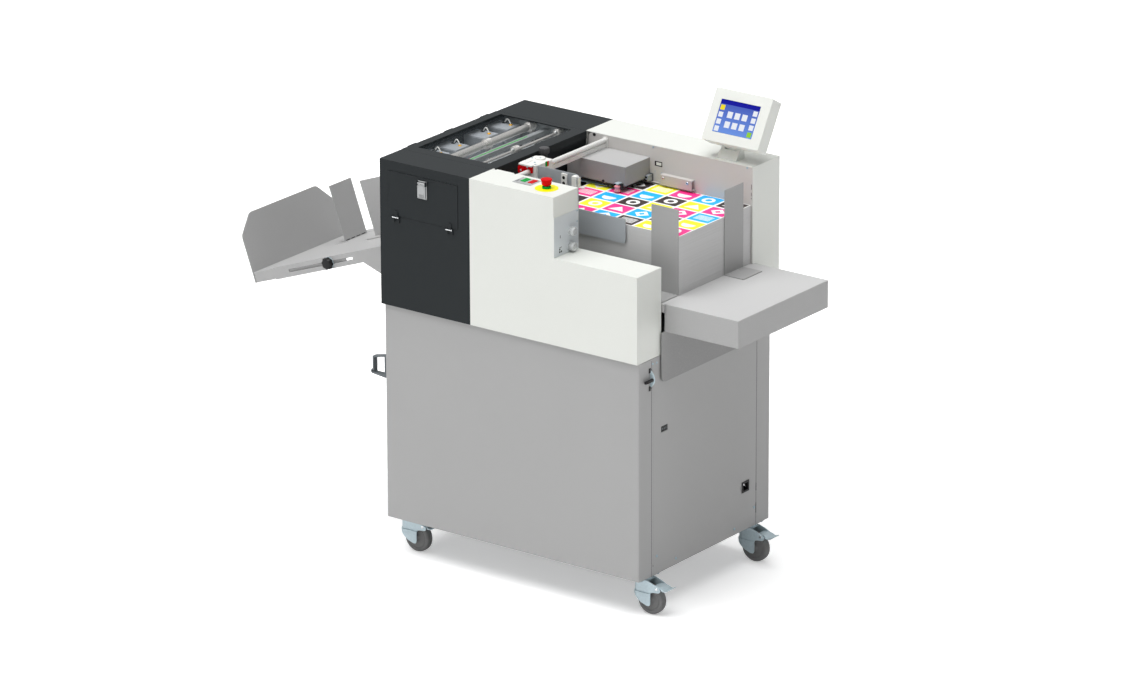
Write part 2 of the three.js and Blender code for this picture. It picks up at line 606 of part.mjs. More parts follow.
// Rear dark cover with the two long walls under the lid, the sheet inlet and outlet and the knob's shelf
function darkRearCover() {
  const rearNear = unit.depth - unit.farStrip;
  const z = [split + gap, top];
  const shell = cut(
    box([0, unit.length], [rearNear, unit.depth], z),
    box([sheet, unit.length - sheet], [rearNear - overrun, unit.depth - sheet], [split - overrun, top - sheet]));
  const wallZ = [z[0], top - lid.thick - lid.pane / 2];
  const wallY = [unit.nearStrip + gap, rearNear + sheet];
  const left = box([0, sheet], wallY, wallZ);
  const right = box([unit.length - sheet, unit.length], [operator.depth + gap, rearNear + sheet], wallZ);
  const slotY = [path.slotNear, unit.depth - path.slotFar];
  const outletSlot = box([-overrun, sheet + overrun], slotY, about(pathZ, path.outletHigh));
  const inletSlot = box([unit.length - sheet - overrun, unit.length + overrun], slotY, about(pathZ, path.slot));
  const leafZ = [top - lid.thick - lid.leafDrop, top - lid.thick - gap];
  const hinge = lidHinges().flatMap(({ y, at }) => [
    rod('y', at, [y[0], y[0] + lid.barrelLength / 3 - gap], lid.barrel, smallSides),
    rod('y', at, [y[1] - lid.barrelLength / 3 + gap, y[1]], lid.barrel, smallSides),
    rod('y', at, [y[0] + gap, y[1] - gap], lid.bore, smallSides),
    box([at[0] + lid.bore, sheet / 2], [y[0], y[0] + lid.barrelLength / 3 - gap], leafZ),
    box([at[0] + lid.bore, sheet / 2], [y[1] - lid.barrelLength / 3 + gap, y[1]], leafZ),
  ]);
  const shelfZ = top - infeedKnob.high - infeedKnob.neck - infeedKnob.shelf - gap;
  const shelf = box(
    [unit.length - sheet / 2, infeedAlong + infeedKnob.radius],
    about(infeedKnob.across, infeedKnob.shelfWidth), run(shelfZ, infeedKnob.shelf));
  const shelfBore = rod('z', [infeedAlong, infeedKnob.across, 0],
    [shelfZ - overrun, shelfZ + overrun], infeedKnob.stem + gap, smallSides);
  return cut(join(shell, left, right, ...hinge, shelf), outletSlot, inletSlot, shelfBore);
}

function lidHinges() {
  const near = unit.nearStrip + unit.lidGap;
  const span = unit.depth - unit.farStrip - unit.lidGap - near;
  return lidHingeShares.map((share) => ({
    y: about(near + share * span, lid.barrelLength),
    at: [-lid.barrelOut, 0, top - lid.barrel],
  }));
}

// Lid: a plate with the window opening, a flange on the feeder side and hinge knuckles on the other
function lidFrame() {
  const y = [unit.nearStrip + unit.lidGap, unit.depth - unit.farStrip - unit.lidGap];
  const right = unit.length + lid.overRight;
  const plate = box([-lid.barrelOut + lid.web, right], y, [top - lid.thick, top]);
  const window = box(
    run(lid.windowLeft, windowLength), run(lid.windowNear, windowWidth), [top - lid.thick - overrun, top + overrun]);
  const flange = box([right - lid.flange, right], [operator.depth + gap, y[1]],
    [top - lid.thick - lid.flangeDrop, top - lid.thick / 2]);
  const coverNotch = box([unit.length, right + overrun], [y[0] - overrun, operator.depth + gap],
    [top - lid.thick - overrun, top + overrun]);
  const knuckles = lidHinges().map(({ y: span, at }) => {
    const middle = [span[0] + lid.barrelLength / 3, span[1] - lid.barrelLength / 3];
    const sleeve = rod('y', at, middle, lid.barrel, smallSides);
    const web = box([at[0], sheet], middle, [top - lid.thick / 2, top]);
    const bore = rod('y', at, [span[0] - overrun, span[1] + overrun], lid.bore + gap, smallSides);
    return cut(join(sleeve, web), bore);
  });
  const clear = lidHinges().map(({ y: span, at }) => rod(
    'y', at, [span[0] - gap, span[1] + gap], lid.barrel + gap, smallSides));
  return join(cut(plate, window, coverNotch, ...clear), flange, ...knuckles);
}

function lidWindow() {
  const { paneLap } = lid;
  return box(
    run(lid.windowLeft - paneLap, windowLength + 2 * paneLap),
    run(lid.windowNear - paneLap, windowWidth + 2 * paneLap),
    [top - lid.thick - gap - lid.pane, top - lid.thick - gap]);
}

// Deck that carries the sheet, with the creasing matrix and slots under the perforating discs
function sheetDeck() {
  const y = [frame.near + frame.thick + gap, frameFar - gap];
  const end = rollerAlong - roller.radius - sheet;
  const plate = box([sheet + gap, end], y, [pathZ - path.deck, pathZ - sheet / 2]);
  const block = box(
    about(matrixAlong, matrix.width), y, [pathZ - matrix.high, pathZ - sheet / 2]);
  const groove = box(
    about(matrixAlong, matrix.groove), [y[0] - overrun, y[1] + overrun], [pathZ - sheet / 2 - matrix.grooveDeep, pathZ]);
  const slots = headPlaces().map((at) => box(
    about(toolBarAlong - disc.slotLength / 8, disc.slotLength),
    about(headArm(at), disc.slotWidth), [pathZ - path.deck - overrun, pathZ]));
  return cut(join(plate, block), groove, ...slots);
}

// The place of a disc beside its head
function headArm(at) {
  return at - toolBar.head / 2 - disc.hubThick / 2 - gap + toolBar.cap;
}

// Ridged head with a domed cap on its operator side
function ridgedHead(shaft, along, at) {
  const z = top - shaft.drop;
  const start = at - shaft.head / 2;
  const profile = [[0, start], [shaft.headRadius - ridge.deep, start]];
  const count = Math.floor(shaft.head / ridge.pitch);
  for (let i = 0; i < count; i += 1) {
    const from = start + (i + 0.5) * shaft.head / count - ridge.width / 2;
    profile.push([shaft.headRadius - ridge.deep, from], [shaft.headRadius, from]);
    profile.push([shaft.headRadius, from + ridge.width], [shaft.headRadius - ridge.deep, from + ridge.width]);
  }
  profile.push([shaft.headRadius - ridge.deep, start + shaft.head], [0, start + shaft.head]);
  const dome = [[0, start - shaft.cap]];
  const steps = cornerSteps;
  for (let i = 1; i <= steps; i += 1) {
    const angle = (i / steps) * (Math.PI / 2);
    dome.push([shaft.capRadius * Math.sin(angle), start - shaft.cap * Math.cos(angle)]);
  }
  dome.push([shaft.capRadius, start + sheet], [0, start + sheet]);
  const lift = shaft.headRadius - shaft.capRadius;
  return join(
    turned('y', [along, 0, z], profile, smallSides),
    turned('y', [along, 0, z + lift / 2], dome, smallSides));
}

// Bar with two heads, journals in the side frames, and an arm that reaches down from each head
function toolCarrier(shaft, along, reach) {
  const z = top - shaft.drop;
  const inner = [frame.near + frame.thick + gap, frameFar - gap];
  const ends = [frame.near, frameFar + frame.thick];
  const arms = headPlaces().map((at) => box(
    about(along, 2 * shaft.arm), [at + shaft.head / 2 - shaft.arm, at + shaft.head / 2], [reach, z]));
  return join(
    rod('y', [along, 0, z], inner, shaft.radius, smallSides),
    rod('y', [along, 0, z], ends, barJournal(shaft), smallSides),
    ...headPlaces().map((at) => ridgedHead(shaft, along, at)),
    ...arms);
}

// A place between the side frames from its share of their distance
function betweenFrames(share) {
  const near = frame.near + frame.thick;
  return near + share * (frameFar - near);
}

function headPlaces() {
  return headPlaceShares.map(betweenFrames);
}

function discCentre() {
  return pathZ - sheet / 2 + gap + disc.radius;
}

// Perforating bar: each arm ends in a pin for its disc
function perforatingBar() {
  const z = discCentre();
  const pins = headPlaces().map((at) => rod('y', [toolBarAlong, 0, z],
    [headArm(at) - disc.hubThick / 2 - gap, at + toolBar.head / 2 - sheet], disc.pin / 2, smallSides));
  return join(toolCarrier(toolBar, toolBarAlong, z - disc.hub), ...pins);
}

// Slim bar: each arm ends in a shoe that holds the sheet down
function holdDownBar() {
  const low = pathZ + sheet / 2;
  const feet = headPlaces().map((at) => box(
    about(slimBarAlong, shoe.length + shoe.foot), [at, at + slimBar.head / 2], run(low, shoe.width)));
  return join(toolCarrier(slimBar, slimBarAlong, low + sheet / 2), ...feet);
}

// Perforating disc with a toothed edge
function perforatingDisc(at) {
  const y = headArm(at);
  const z = discCentre();
  const shape = new THREE.Shape();
  const teeth = roundSides;
  for (let i = 0; i < 2 * teeth; i += 1) {
    const radius = i % 2 ? disc.radius - disc.tooth : disc.radius;
    const angle = (i / teeth) * Math.PI;
    const point = [toolBarAlong + radius * Math.cos(angle), z + radius * Math.sin(angle)];
    if (i === 0) shape.moveTo(...point);
    else shape.lineTo(...point);
  }
  shape.closePath();
  const blade = prism('y', shape, about(y, disc.thick));
  const hub = rod('y', [toolBarAlong, 0, z], about(y, disc.hubThick), disc.hub, smallSides);
  const bore = rod('y', [toolBarAlong, 0, z], about(y, disc.hubThick + overrun), disc.pin / 2 + gap, smallSides);
  return cut(join(blade, hub), bore);
}

// Four actuators on their rail between the side frames
function actuatorBar() {
  const railTop = top - block.drop - block.height;
  const y = [frame.near + frame.thick + gap, frameFar - gap];
  const rail = box(run(block.railLeft, block.railLength), y, [railTop - block.rail, railTop + sheet]);
  const blocks = blockPlaceShares.map(betweenFrames).map((at) => prism('y', outline([
    [block.left, railTop], [block.left + block.length, railTop],
    [block.left + block.length, top - block.drop], [block.left, top - block.drop],
  ], sheet), about(at, block.width)));
  const plugs = blockPlaceShares.map(betweenFrames).map((at) => rod(
    'z', [plug.along, at + plug.radius * 2, 0], [top - block.drop - sheet, top - block.drop + plug.high],
    plug.radius, smallSides));
  return join(rail, ...blocks, ...plugs);
}

// Creasing beam with its blade, raised over the matrix
function creaseBeam() {
  const y = [frame.near + frame.thick + gap, frameFar - gap];
  const tip = pathZ - sheet / 2 + beam.raised;
  const z = run(tip + beam.bladeHigh, beam.height);
  return join(
    box(about(matrixAlong, beam.width), y, z),
    box(about(matrixAlong, beam.blade), [y[0] + beam.relief, y[1] - beam.relief], [tip, z[0] + sheet]));
}

// Infeed roller: a shaft with raised rings, running in the side frames
function infeedRoller(z) {
  const inner = [frame.near + frame.thick + gap, frameFar - gap];
  const ends = [frame.near, frameFar + frame.thick];
  const core = roller.radius - sheet;
  const profile = [[0, ends[0]], [roller.journal, ends[0]], [roller.journal, inner[0]], [core, inner[0]]];
  const pitch = 2 * (roller.ring + roller.ringGap);
  const count = Math.floor((inner[1] - inner[0] - 2 * roller.neck) / pitch);
  const spread = (inner[1] - inner[0]) / count;
  for (let i = 0; i < count; i += 1) {
    const from = inner[0] + (i + 0.5) * spread - roller.ring;
    profile.push([core, from], [roller.radius, from]);
    profile.push([roller.radius, from + 2 * roller.ring], [core, from + 2 * roller.ring]);
  }
  profile.push([core, inner[1]], [roller.journal, inner[1]], [roller.journal, ends[1]], [0, ends[1]]);
  return turned('y', [rollerAlong, 0, z], profile, smallSides);
}

// Operator cover: a folded shell with a step, the steel panel, notches, key holes and the stop's boss
function operatorCover() {
  const left = unit.length + gap;
  const step = top - operator.step;
  const shoulder = unit.length + operator.shoulder;
  const bend = 1.5;
  const body = (inset, low) => [
    [left + inset, low], [operatorRight - inset, low], [operatorRight - inset, step - inset],
    [shoulder - inset, step - inset], [shoulder - inset, top - inset], [left + inset, top - inset],
  ];
  const shell = cut(
    prism('y', outline(body(0, split + gap), [0, 0, bend, 0, bend, 0]), [0, operator.depth]),
    prism('y', outline(body(sheet, split - overrun)), [sheet, operator.depth - sheet]));
  const panel = box(
    [shoulder - sheet / 2, shoulder + operator.panel], [0, operator.depth + operator.panel / 2],
    [step, top - operator.panelDrop]);
  const boss = rod('z', [estopAlong, estop.across, 0], [top - sheet, top + estop.bossHigh], estop.boss);
  const estopBore = rod('z', [estopAlong, estop.across, 0],
    [top - sheet - overrun, top + estop.bossHigh + overrun], estop.stem + gap);
  const keyHoles = [startAlong, stopAlong].map((at) => box(
    about(at, key.length + 2 * gap), about(key.across, key.width + 2 * gap), [top - sheet - overrun, top + overrun]));
  const knobBores = [airKnob.upperDrop, airKnob.lowerDrop].map((drop) => rod(
    'x', [0, airKnob.across, top - drop], [shoulder - sheet - overrun, shoulder + overrun], airKnob.stem + gap,
    smallSides));
  const notches = [0, 1].map((i) => box(
    run(unit.length + notch.first + i * notch.pitch + gap, notch.width),
    [operator.depth - notch.deep, operator.depth + overrun],
    [top - notch.high, top + overrun]));
  return cut(join(shell, panel, boss), estopBore, ...keyHoles, ...knobBores, ...notches);
}

function keyCap(along) {
  const cap = prism('z', outline([
    [along - key.length / 2, key.across - key.width / 2], [along + key.length / 2, key.across - key.width / 2],
    [along + key.length / 2, key.across + key.width / 2], [along - key.length / 2, key.across + key.width / 2],
  ]), [top - key.deep, top + key.proud]);
  const lip = box(
    about(along, key.length + 2 * key.lip), about(key.across, key.width + 2 * key.lip),
    [top - key.deep, top - sheet - gap]);
  return join(cap, lip);
}

// Emergency stop: a mushroom that widens upward, on a stem through the boss
function estopButton() {
  const low = top + estop.bossHigh + estop.travel + gap;
  const high = top + estop.rise;
  return turned('z', [estopAlong, estop.across, 0], [
    [0, top - estop.deep], [estop.stem, top - estop.deep], [estop.stem, low], [estop.waist, low],
    [estop.crown, high - estop.round], [estop.crown - estop.round / 3, high - estop.round / 3],
    [estop.crown - estop.round, high], [0, high],
  ]);
}

// Silver knob on a stem through the steel panel
function panelKnob(drop) {
  const face = unit.length + operator.shoulder + operator.panel + gap;
  return turned('x', [0, airKnob.across, top - drop], [
    [0, face - airKnob.deep], [airKnob.stem, face - airKnob.deep], [airKnob.stem, face],
    [airKnob.radius, face], [airKnob.radius, face + airKnob.proud - airKnob.chamfer],
    [airKnob.radius - airKnob.chamfer, face + airKnob.proud], [0, face + airKnob.proud],
  ]);
}

// Place of the monitor's tilt axis in the machine
function monitorPivot() {
  const tilt = THREE.MathUtils.degToRad(monitor.tilt);
  const behind = monitor.depth + monitor.pivotBack;
  return {
    y: monitorNear + behind * Math.cos(tilt) + monitor.pivotUp * Math.sin(tilt),
    z: top + monitor.rise - behind * Math.sin(tilt) + monitor.pivotUp * Math.cos(tilt),
  };
}

// Rear housing, open toward the feeder, with the two ears of the monitor's neck
function rearHousing() {
  const x = [unit.length + gap, housingRight];
  const shell = cut(
    box(x, [backNear, unit.depth], [split + gap, top]),
    box([x[0] + sheet, x[1] - sheet], [backNear - overrun, unit.depth - sheet], [split - overrun, top - sheet]));
  const pivot = monitorPivot();
  const earShape = outline([
    [neckNear, top - sheet / 2], [neckNear + neck.foot, top - sheet / 2],
    [pivot.y + monitor.lug, pivot.z], [pivot.y, pivot.z + monitor.lug], [pivot.y - monitor.lug, pivot.z],
  ], [0, 0, 0, monitor.lug / 2, 0]);
  const ears = [neckLeft, neckLeft + neck.width - neck.ear].map((at) => prism('x', earShape, run(at, neck.ear)));
  const base = box(run(neckLeft, neck.width), run(neckNear, neck.foot), [top - sheet / 2, top + neck.base]);
  const pin = rod('x', [0, pivot.y, pivot.z], [neckLeft + sheet, neckLeft + neck.width - sheet],
    monitor.lug / 2, smallSides);
  return join(shell, ...ears, base, pin);
}

// Monitor case, upright in its own place: front frame, tapered back, screen recess and hinge lug
function monitorCase() {
  const { width, height, depth, shell, taper, lug } = monitor;
  const front = prism('y', outline([[0, 0], [width, 0], [width, height], [0, height]], monitor.corner), [0, shell]);
  const side = outline([[shell, 0], [shell, height], [depth, height - taper], [depth, 0]].reverse());
  const wedge = prism('x', side, [taper, width - taper]);
  const screen = box(
    run(monitor.screenLeft, monitor.screenWidth), [-overrun, monitor.screenDeep],
    run(monitor.screenUp, monitor.screenHeight));
  const pivot = [0, depth + monitor.pivotBack, monitor.pivotUp];
  const x = [neckLeft - monitorLeft + neck.ear + gap, neckLeft - monitorLeft + neck.width - neck.ear - gap];
  const hub = rod('x', pivot, x, lug, smallSides);
  const arm = box(x, [shell, pivot[1]], about(pivot[2] + lug / 2, lug));
  const bore = rod('x', pivot, [x[0] - overrun, x[1] + overrun], lug / 2 + gap, smallSides);
  return cut(join(front, wedge, hub, arm), screen, bore);
}

// Feeder's back plate with its round corner, the slots for the lift arms, the ledge and the sensor window
function backPlate() {
  const right = housingRight - sheet - gap;
  const height = top - back.topDrop;
  const plate = prism('y', outline([
    [unit.length + back.inset, split + gap], [right, split + gap], [right, height], [unit.length + back.inset, height],
  ], [0, 0, 0, back.corner]), run(backNear, back.thick));
  const slots = runnerPlaces.map((at) => box(
    about(at, runner.arm + 2 * lift.slotPlay), [backNear - overrun, backNear + back.thick + overrun],
    [tableZ - runner.armHeight - lift.slotPlay, tableZ + lift.travel + lift.slotPlay]));
  const rotorBore = rod('y', [rotorAlong, 0, rotorZ()], [backNear - overrun, backNear + overrun],
    rotor.stem + gap, smallSides);
  return cut(join(plate, nozzleBracket()), ...slots, rotorBore);
}

// Air ledge over the pile's back edge: a folded channel with a row of blow holes
function nozzleBracket() {
  const left = unit.length + nozzle.inset;
  const z = [top - nozzle.drop - nozzle.height, top - nozzle.drop];
  const y = [backNear - nozzle.proud, backNear + back.thick / 2];
  const solidPart = box(run(left, nozzle.length), y, z);
  const hollow = box(
    run(left - overrun, nozzle.length + 2 * overrun),
    [y[0] + nozzle.wall, backNear - sheet / 2 + gap], [z[0] + nozzle.wall, z[1] - nozzle.wall]);
  return cut(solidPart, hollow);
}

function rotorZ() {
  return pileTop + rotor.lift + rotor.radius;
}

// Table: top plate, skirt round its outer part, inner flanges, apron, lift arms and runners
function feedTable() {
  const topRange = [tableZ - table.top, tableZ];
  const outerX = [tableOuter, tableEnd];
  const skirtZ = [tableZ - table.skirt, tableZ];
  const outer = cut(
    box(outerX, tableAcross, skirtZ),
    box([outerX[0] - overrun, outerX[1] - table.top], [tableAcross[0] + table.top, tableAcross[1] - table.top],
      [skirtZ[0] - overrun, tableZ - table.top]));
  const innerX = [tableLeft, tableOuter + table.top];
  const inner = cut(
    box(innerX, [tableInner[0], tableInner[1]], [tableZ - table.innerFlange, tableZ]),
    box([innerX[0] + table.top, innerX[1] + overrun], [tableInner[0] + table.top, tableInner[1] - table.top],
      [tableZ - table.innerFlange - overrun, tableZ - table.top]));
  const apronLow = tableZ - table.apronDrop;
  const apron = prism('x', outline([
    [apronNear, apronLow], [tableInner[1], apronLow], [tableInner[1], tableZ - table.top / 2],
    [tableAcross[0], tableZ - table.top / 2], [tableAcross[0], skirtZ[0]], [apronNear, skirtZ[0]],
  ], [table.apronCorner, table.apronCorner, 0, 0, 0, 0]), run(tableOuter, table.apron));
  const blockZ = about(tableZ - runner.height / 2, runner.height);
  const lifts = runnerPlaces.flatMap((at) => [
    box(about(at, runner.arm), [tableInner[1] - table.top, runnerAcross - runner.column],
      [tableZ - runner.armHeight, tableZ - table.top / 2]),
    box(about(at, runner.block), about(runnerAcross, runner.block), blockZ),
  ]);
  const bores = runnerPlaces.map((at) => rod(
    'z', [at, runnerAcross, 0], [blockZ[0] - overrun, blockZ[1] + overrun], runner.column + gap));
  const wingNotch = box(
    [sideGuideEnd - sideGuide.stemLength - table.notchPlay, wingEnd + table.notchPlay],
    [tableInner[0] - overrun, pileNear - gap], [tableZ - table.innerFlange - overrun, tableZ + overrun]);
  return cut(join(outer, inner, apron, ...lifts), wingNotch, ...bores);
}

function paperStack() {
  return box([pileStart, pileEnd], [pileNear, backNear - pile.play], [tableZ + gap, pileTop]);
}

// Bent guide plate: an upright leaf and a foot, with pairs of small holes at the bend
function bentGuide(axis, along, bendAt, foot, height) {
  const base = tableZ + gap;
  const { thick, hole, corner } = nearGuide;
  const sign = Math.sign(foot);
  const points = [
    [bendAt, base], [bendAt, base + height], [bendAt + sign * thick, base + height],
    [bendAt + sign * thick, base + thick], [bendAt + foot, base + thick], [bendAt + foot, base],
  ];
  const angle = prism(axis, outline(sign > 0 ? points.reverse() : points, [0, 0, 0, 0, 0, 0]), along);
  const holes = guideHoleShares.flatMap((share) => [-1, 1].map((side) => {
    const at = along[0] + share * (along[1] - along[0]) + side * nearGuide.holePitch / 2;
    const centre = axis === 'x' ? [at, bendAt + sign * (thick + hole), 0] : [bendAt + sign * (thick + hole), at, 0];
    return rod('z', centre, [base - overrun, base + thick + overrun], corner, smallSides);
  }));
  return cut(angle, ...holes);
}

function nearGuidePlate() {
  return bentGuide('x', run(cabinetRight - nearGuide.endInset - nearGuide.length, nearGuide.length), pileNear - tailGuide.play, -nearGuide.foot,
    nearGuide.height);
}

function tailGuidePlate() {
  return bentGuide('y', run(backNear - tailGuide.farInset - tailGuide.width, tailGuide.width), pileEnd + tailGuide.play,
    tailGuide.foot, nearGuide.height);
}

// Feed head: an open-bottomed housing with a lower box beside it, carried by the back plate
function feedHead() {
  const z = [pileTop + head.overPile, top - head.topDrop];
  const far = backNear - gap;
  const main = [[headLeft, headLeft + head.length], [headNear, far]];
  const side = [[unit.length + head.sideInset, headLeft + sheet / 2], [backNear - head.sideDepth, far]];
  const shell = (place, floor) => cut(
    box(...place, [floor, z[1]]),
    box([place[0][0] + sheet, place[0][1] - sheet], [place[1][0] + sheet, place[1][1] - sheet],
      [floor - overrun, z[1] - sheet]));
  const rotorBore = rod('y', [rotorAlong, 0, rotorZ()], [headNear - overrun, far + overrun],
    rotor.stem + gap, smallSides);
  const boss = cut(
    rod('y', [rotorAlong, 0, rotorZ()], run(headNear, rotorNear - headNear - 2 * gap), rotor.stem + sheet, smallSides),
    rotorBore);
  return join(cut(join(shell(main, z[0]), shell(side, z[0] - head.sideFloor)), rotorBore), boss);
}

// Suction rotor: a grooved drum on its shaft, just over the pile
function suctionRotor() {
  const y = run(rotorNear, rotor.length);
  const profile = [[0, headNear - sheet], [rotor.stem, headNear - sheet], [rotor.stem, y[0]], [rotor.radius, y[0]]];
  const pitch = rotor.length / rotor.grooves;
  for (let i = 0; i < rotor.grooves; i += 1) {
    const at = y[0] + (i + 0.5) * pitch - rotor.grooveWidth / 2;
    profile.push([rotor.radius, at], [rotor.radius - rotor.groove, at]);
    profile.push([rotor.radius - rotor.groove, at + rotor.grooveWidth], [rotor.radius, at + rotor.grooveWidth]);
  }
  profile.push([rotor.radius, y[1]], [rotor.stem, y[1]], [rotor.stem, backNear + back.thick], [0, backNear + back.thick]);
  return turned('y', [rotorAlong, 0, rotorZ()], profile);
}

// Cross rod and flat rail over the feeder, with a plate at each end
function guideBar() {
  const y = [operator.depth + gap, backNear - gap];
  const z = top - bar.drop;
  const railZ = [top - bar.railDrop - bar.railHeight, top - bar.railDrop];
  const ends = [y[0], y[1] - bar.end].map((at) => box(
    about(barAlong, bar.endLength), run(at, bar.end), [railZ[0], z + bar.radius + sheet / 2]));
  return join(rod('y', [barAlong, 0, z], y, bar.radius), box(about(barAlong, bar.rail), y, railZ), ...ends);
}

function carriageY() {
  return run(carriageNear, carriage.width);
}

// Carriage of the side guide: a rounded block with a keyhole for the rod and the rail
function guideCarriage() {
  const y = carriageY();
  const z = [top + carriage.rise - carriage.height, top + carriage.rise];
  const x = run(unit.length + carriage.inset, carriage.length);
  const body = prism('z', outline([[x[0], y[0]], [x[1], y[0]], [x[1], y[1]], [x[0], y[1]]], carriage.corner), z);
  const long = [y[0] - overrun, y[1] + overrun];
  const bore = rod('y', [barAlong, 0, top - bar.drop], long, bar.radius + gap);
  const keyway = box(about(barAlong, bar.rail + 2 * gap), long, [z[0] - overrun, top - bar.drop]);
  const pin = rod('y', [clampPivot()[0], 0, clampPivot()[1]],
    [y[0] - clamp.thick - gap, y[0] + sheet], clamp.pin / 2, smallSides);
  const guideSlot = box(
    [sideGuideLeft - gap, x[1] + overrun], about(sideGuideNear + sideGuide.thick / 2, sideGuide.thick + 2 * gap),
    [z[0] - overrun, z[1] + overrun]);
  return join(cut(body, bore, keyway, guideSlot), pin);
}

function clampPivot() {
  return [unit.length + clamp.inset, top - clamp.drop];
}

// Red clamp lever in front of the carriage: round about its pin, with a tail below
function clampLever() {
  const y = [carriageNear - clamp.thick, carriageNear - gap];
  const [px, pz] = clampPivot();
  const { half, tail, round } = clamp;
  const body = prism('y', outline([
    [px - half, pz - tail], [px + half, pz - tail], [px + half, pz + half], [px - half, pz + half],
  ], [sheet, sheet, round, round]), y);
  return cut(body, rod('y', [px, 0, pz], [y[0] - overrun, y[1] + overrun], clamp.pin / 2 + gap, smallSides));
}

// Side guide: an arm on the carriage, a stem and a low wing along the pile
function sideGuidePlate() {
  const y = run(sideGuideNear, sideGuide.thick);
  const high = top + sideGuide.rise;
  const wingTop = top - sideGuide.wingDrop;
  const wingLow = wingTop - sideGuide.wingHeight;
  const stem = sideGuideEnd - sideGuide.stemLength;
  const armLow = high - sideGuide.depth;
  const shape = outline([
    [sideGuideLeft, armLow], [stem, armLow], [stem, wingLow], [wingEnd, wingLow],
    [wingEnd, wingTop], [sideGuideEnd, wingTop], [sideGuideEnd, high], [sideGuideLeft, high],
  ], [0, 0, sheet, sideGuide.corner, sheet, 0, sideGuide.corner, 0]);
  const endBlock = box(
    [sideGuideEnd - sideGuide.block, sideGuideEnd], [y[0] - sideGuide.blockLength, y[0] + sideGuide.thick / 2],
    [top - sideGuide.blockDrop - sideGuide.blockHeight, top - sideGuide.blockDrop]);
  return join(prism('y', shape, y), endBlock);
}

// Infeed knob: a fluted cap on a stem through the shelf
function infeedKnobCap() {
  const at = [infeedAlong, infeedKnob.across, 0];
  const low = top - infeedKnob.high;
  const shape = new THREE.Shape();
  const steps = 2 * infeedKnob.flutes;
  for (let i = 0; i < steps; i += 1) {
    const radius = infeedKnob.radius - (i % 2 ? sheet / 2 : 0);
    const angle = (i / steps) * 2 * Math.PI;
    const point = [at[0] + radius * Math.cos(angle), at[1] + radius * Math.sin(angle)];
    if (i === 0) shape.moveTo(...point);
    else shape.lineTo(...point);
  }
  shape.closePath();
  return join(
    prism('z', shape, [low, top]),
    rod('z', at, [low - infeedKnob.neck, low + sheet], infeedKnob.collar, smallSides),
    rod('z', at, [low - infeedKnob.neck - infeedKnob.shelf - infeedKnob.deep, low], infeedKnob.stem, smallSides));
}

// Delivery tray, level in its own place: x runs up the slope to the machine, so the tray lies at minus x
function trayChannel() {
  const slope = THREE.MathUtils.degToRad(tray.slope);
  const foot = [-tray.bracketDrop * Math.sin(slope), -tray.bracketDrop * Math.cos(slope)];
  const y = run(tray.near, trayWidth);
  const plate = box([-tray.length, 0], y, [-tray.wall, 0]);
  const cheek = outline([
    [-tray.length, -tray.flange], [-tray.kink, -tray.flange], foot, [0, 0], [-tray.length, 0],
  ], [tray.corner, 0, tray.corner, 0, 0]);
  const cheeks = [y[0], y[1] - tray.wall].map((at) => prism('y', cheek, run(at, tray.wall)));
  const slot = prism('y', outline([
    [-tray.slotStart - tray.slotLength, -tray.slotUp - tray.slotHeight / 2],
    [-tray.slotStart, -tray.slotUp - tray.slotHeight / 2],
    [-tray.slotStart, -tray.slotUp + tray.slotHeight / 2],
    [-tray.slotStart - tray.slotLength, -tray.slotUp + tray.slotHeight / 2],
  ], tray.slotHeight / 2), [y[0] - overrun, y[0] + tray.wall + overrun]);
  return cut(join(plate, ...cheeks), slot);
}

// Sliding extension inside the channel, bent up into the end stop
function trayExtension() {
  const wall = tray.wall + gap;
  const y = [tray.near + wall, tray.near + trayWidth - wall];
  const z = [-tray.flange + sheet, -wall];
  const x = [-extension.end, -extension.start];
  const channel = cut(
    box(x, y, z),
    box([x[0] - overrun, x[1] + overrun], [y[0] + tray.wall, y[1] - tray.wall], [z[0] - overrun, z[1] - tray.wall]));
  const bore = rod('y', [-trayKnob.along, 0, -tray.slotUp], [y[0] - overrun, y[0] + tray.wall + overrun],
    trayKnob.stem + gap, smallSides);
  const side = [tray.near, tray.near + trayWidth];
  const { stopHeight, sideHeight, chamfer, round } = extension;
  const stop = prism('x', outline([
    [side[0], z[0]], [side[1], z[0]], [side[1], sideHeight], [side[1] - chamfer, stopHeight],
    [side[0] + chamfer, stopHeight], [side[0], sideHeight],
  ], [0, 0, round, round, round, round]), [-extension.end - tray.wall, -extension.end]);
  return join(cut(channel, bore), stop);
}

// Clamp knob with lobes, its stem through the slot into the extension
function trayClampKnob() {
  const face = tray.near - gap;
  const shape = new THREE.Shape();
  const steps = 4 * trayKnob.lobes;
  for (let i = 0; i < steps; i += 1) {
    const angle = (i / steps) * 2 * Math.PI;
    const radius = trayKnob.radius - trayKnob.lobe / 2 * (1 - Math.cos(trayKnob.lobes * angle));
    const point = [radius * Math.cos(angle) - trayKnob.along, radius * Math.sin(angle) - tray.slotUp];
    if (i === 0) shape.moveTo(...point);
    else shape.lineTo(...point);
  }
  shape.closePath();
  return join(
    prism('y', shape, [face - trayKnob.thick, face]),
    rod('y', [-trayKnob.along, 0, -tray.slotUp],
      [face - sheet, face + tray.wall + 2 * gap + tray.wall + trayKnob.deep], trayKnob.stem, smallSides));
}

function trayStopPlate() {
  const y = run(trayStopNear, trayStop.width);
  const { thick, height, foot, along } = trayStop;
  return prism('y', outline([
    [-along - foot, gap], [-along + thick, gap], [-along + thick, height], [-along, height],
    [-along, gap + thick], [-along - foot, gap + thick],
  ]), y);
}

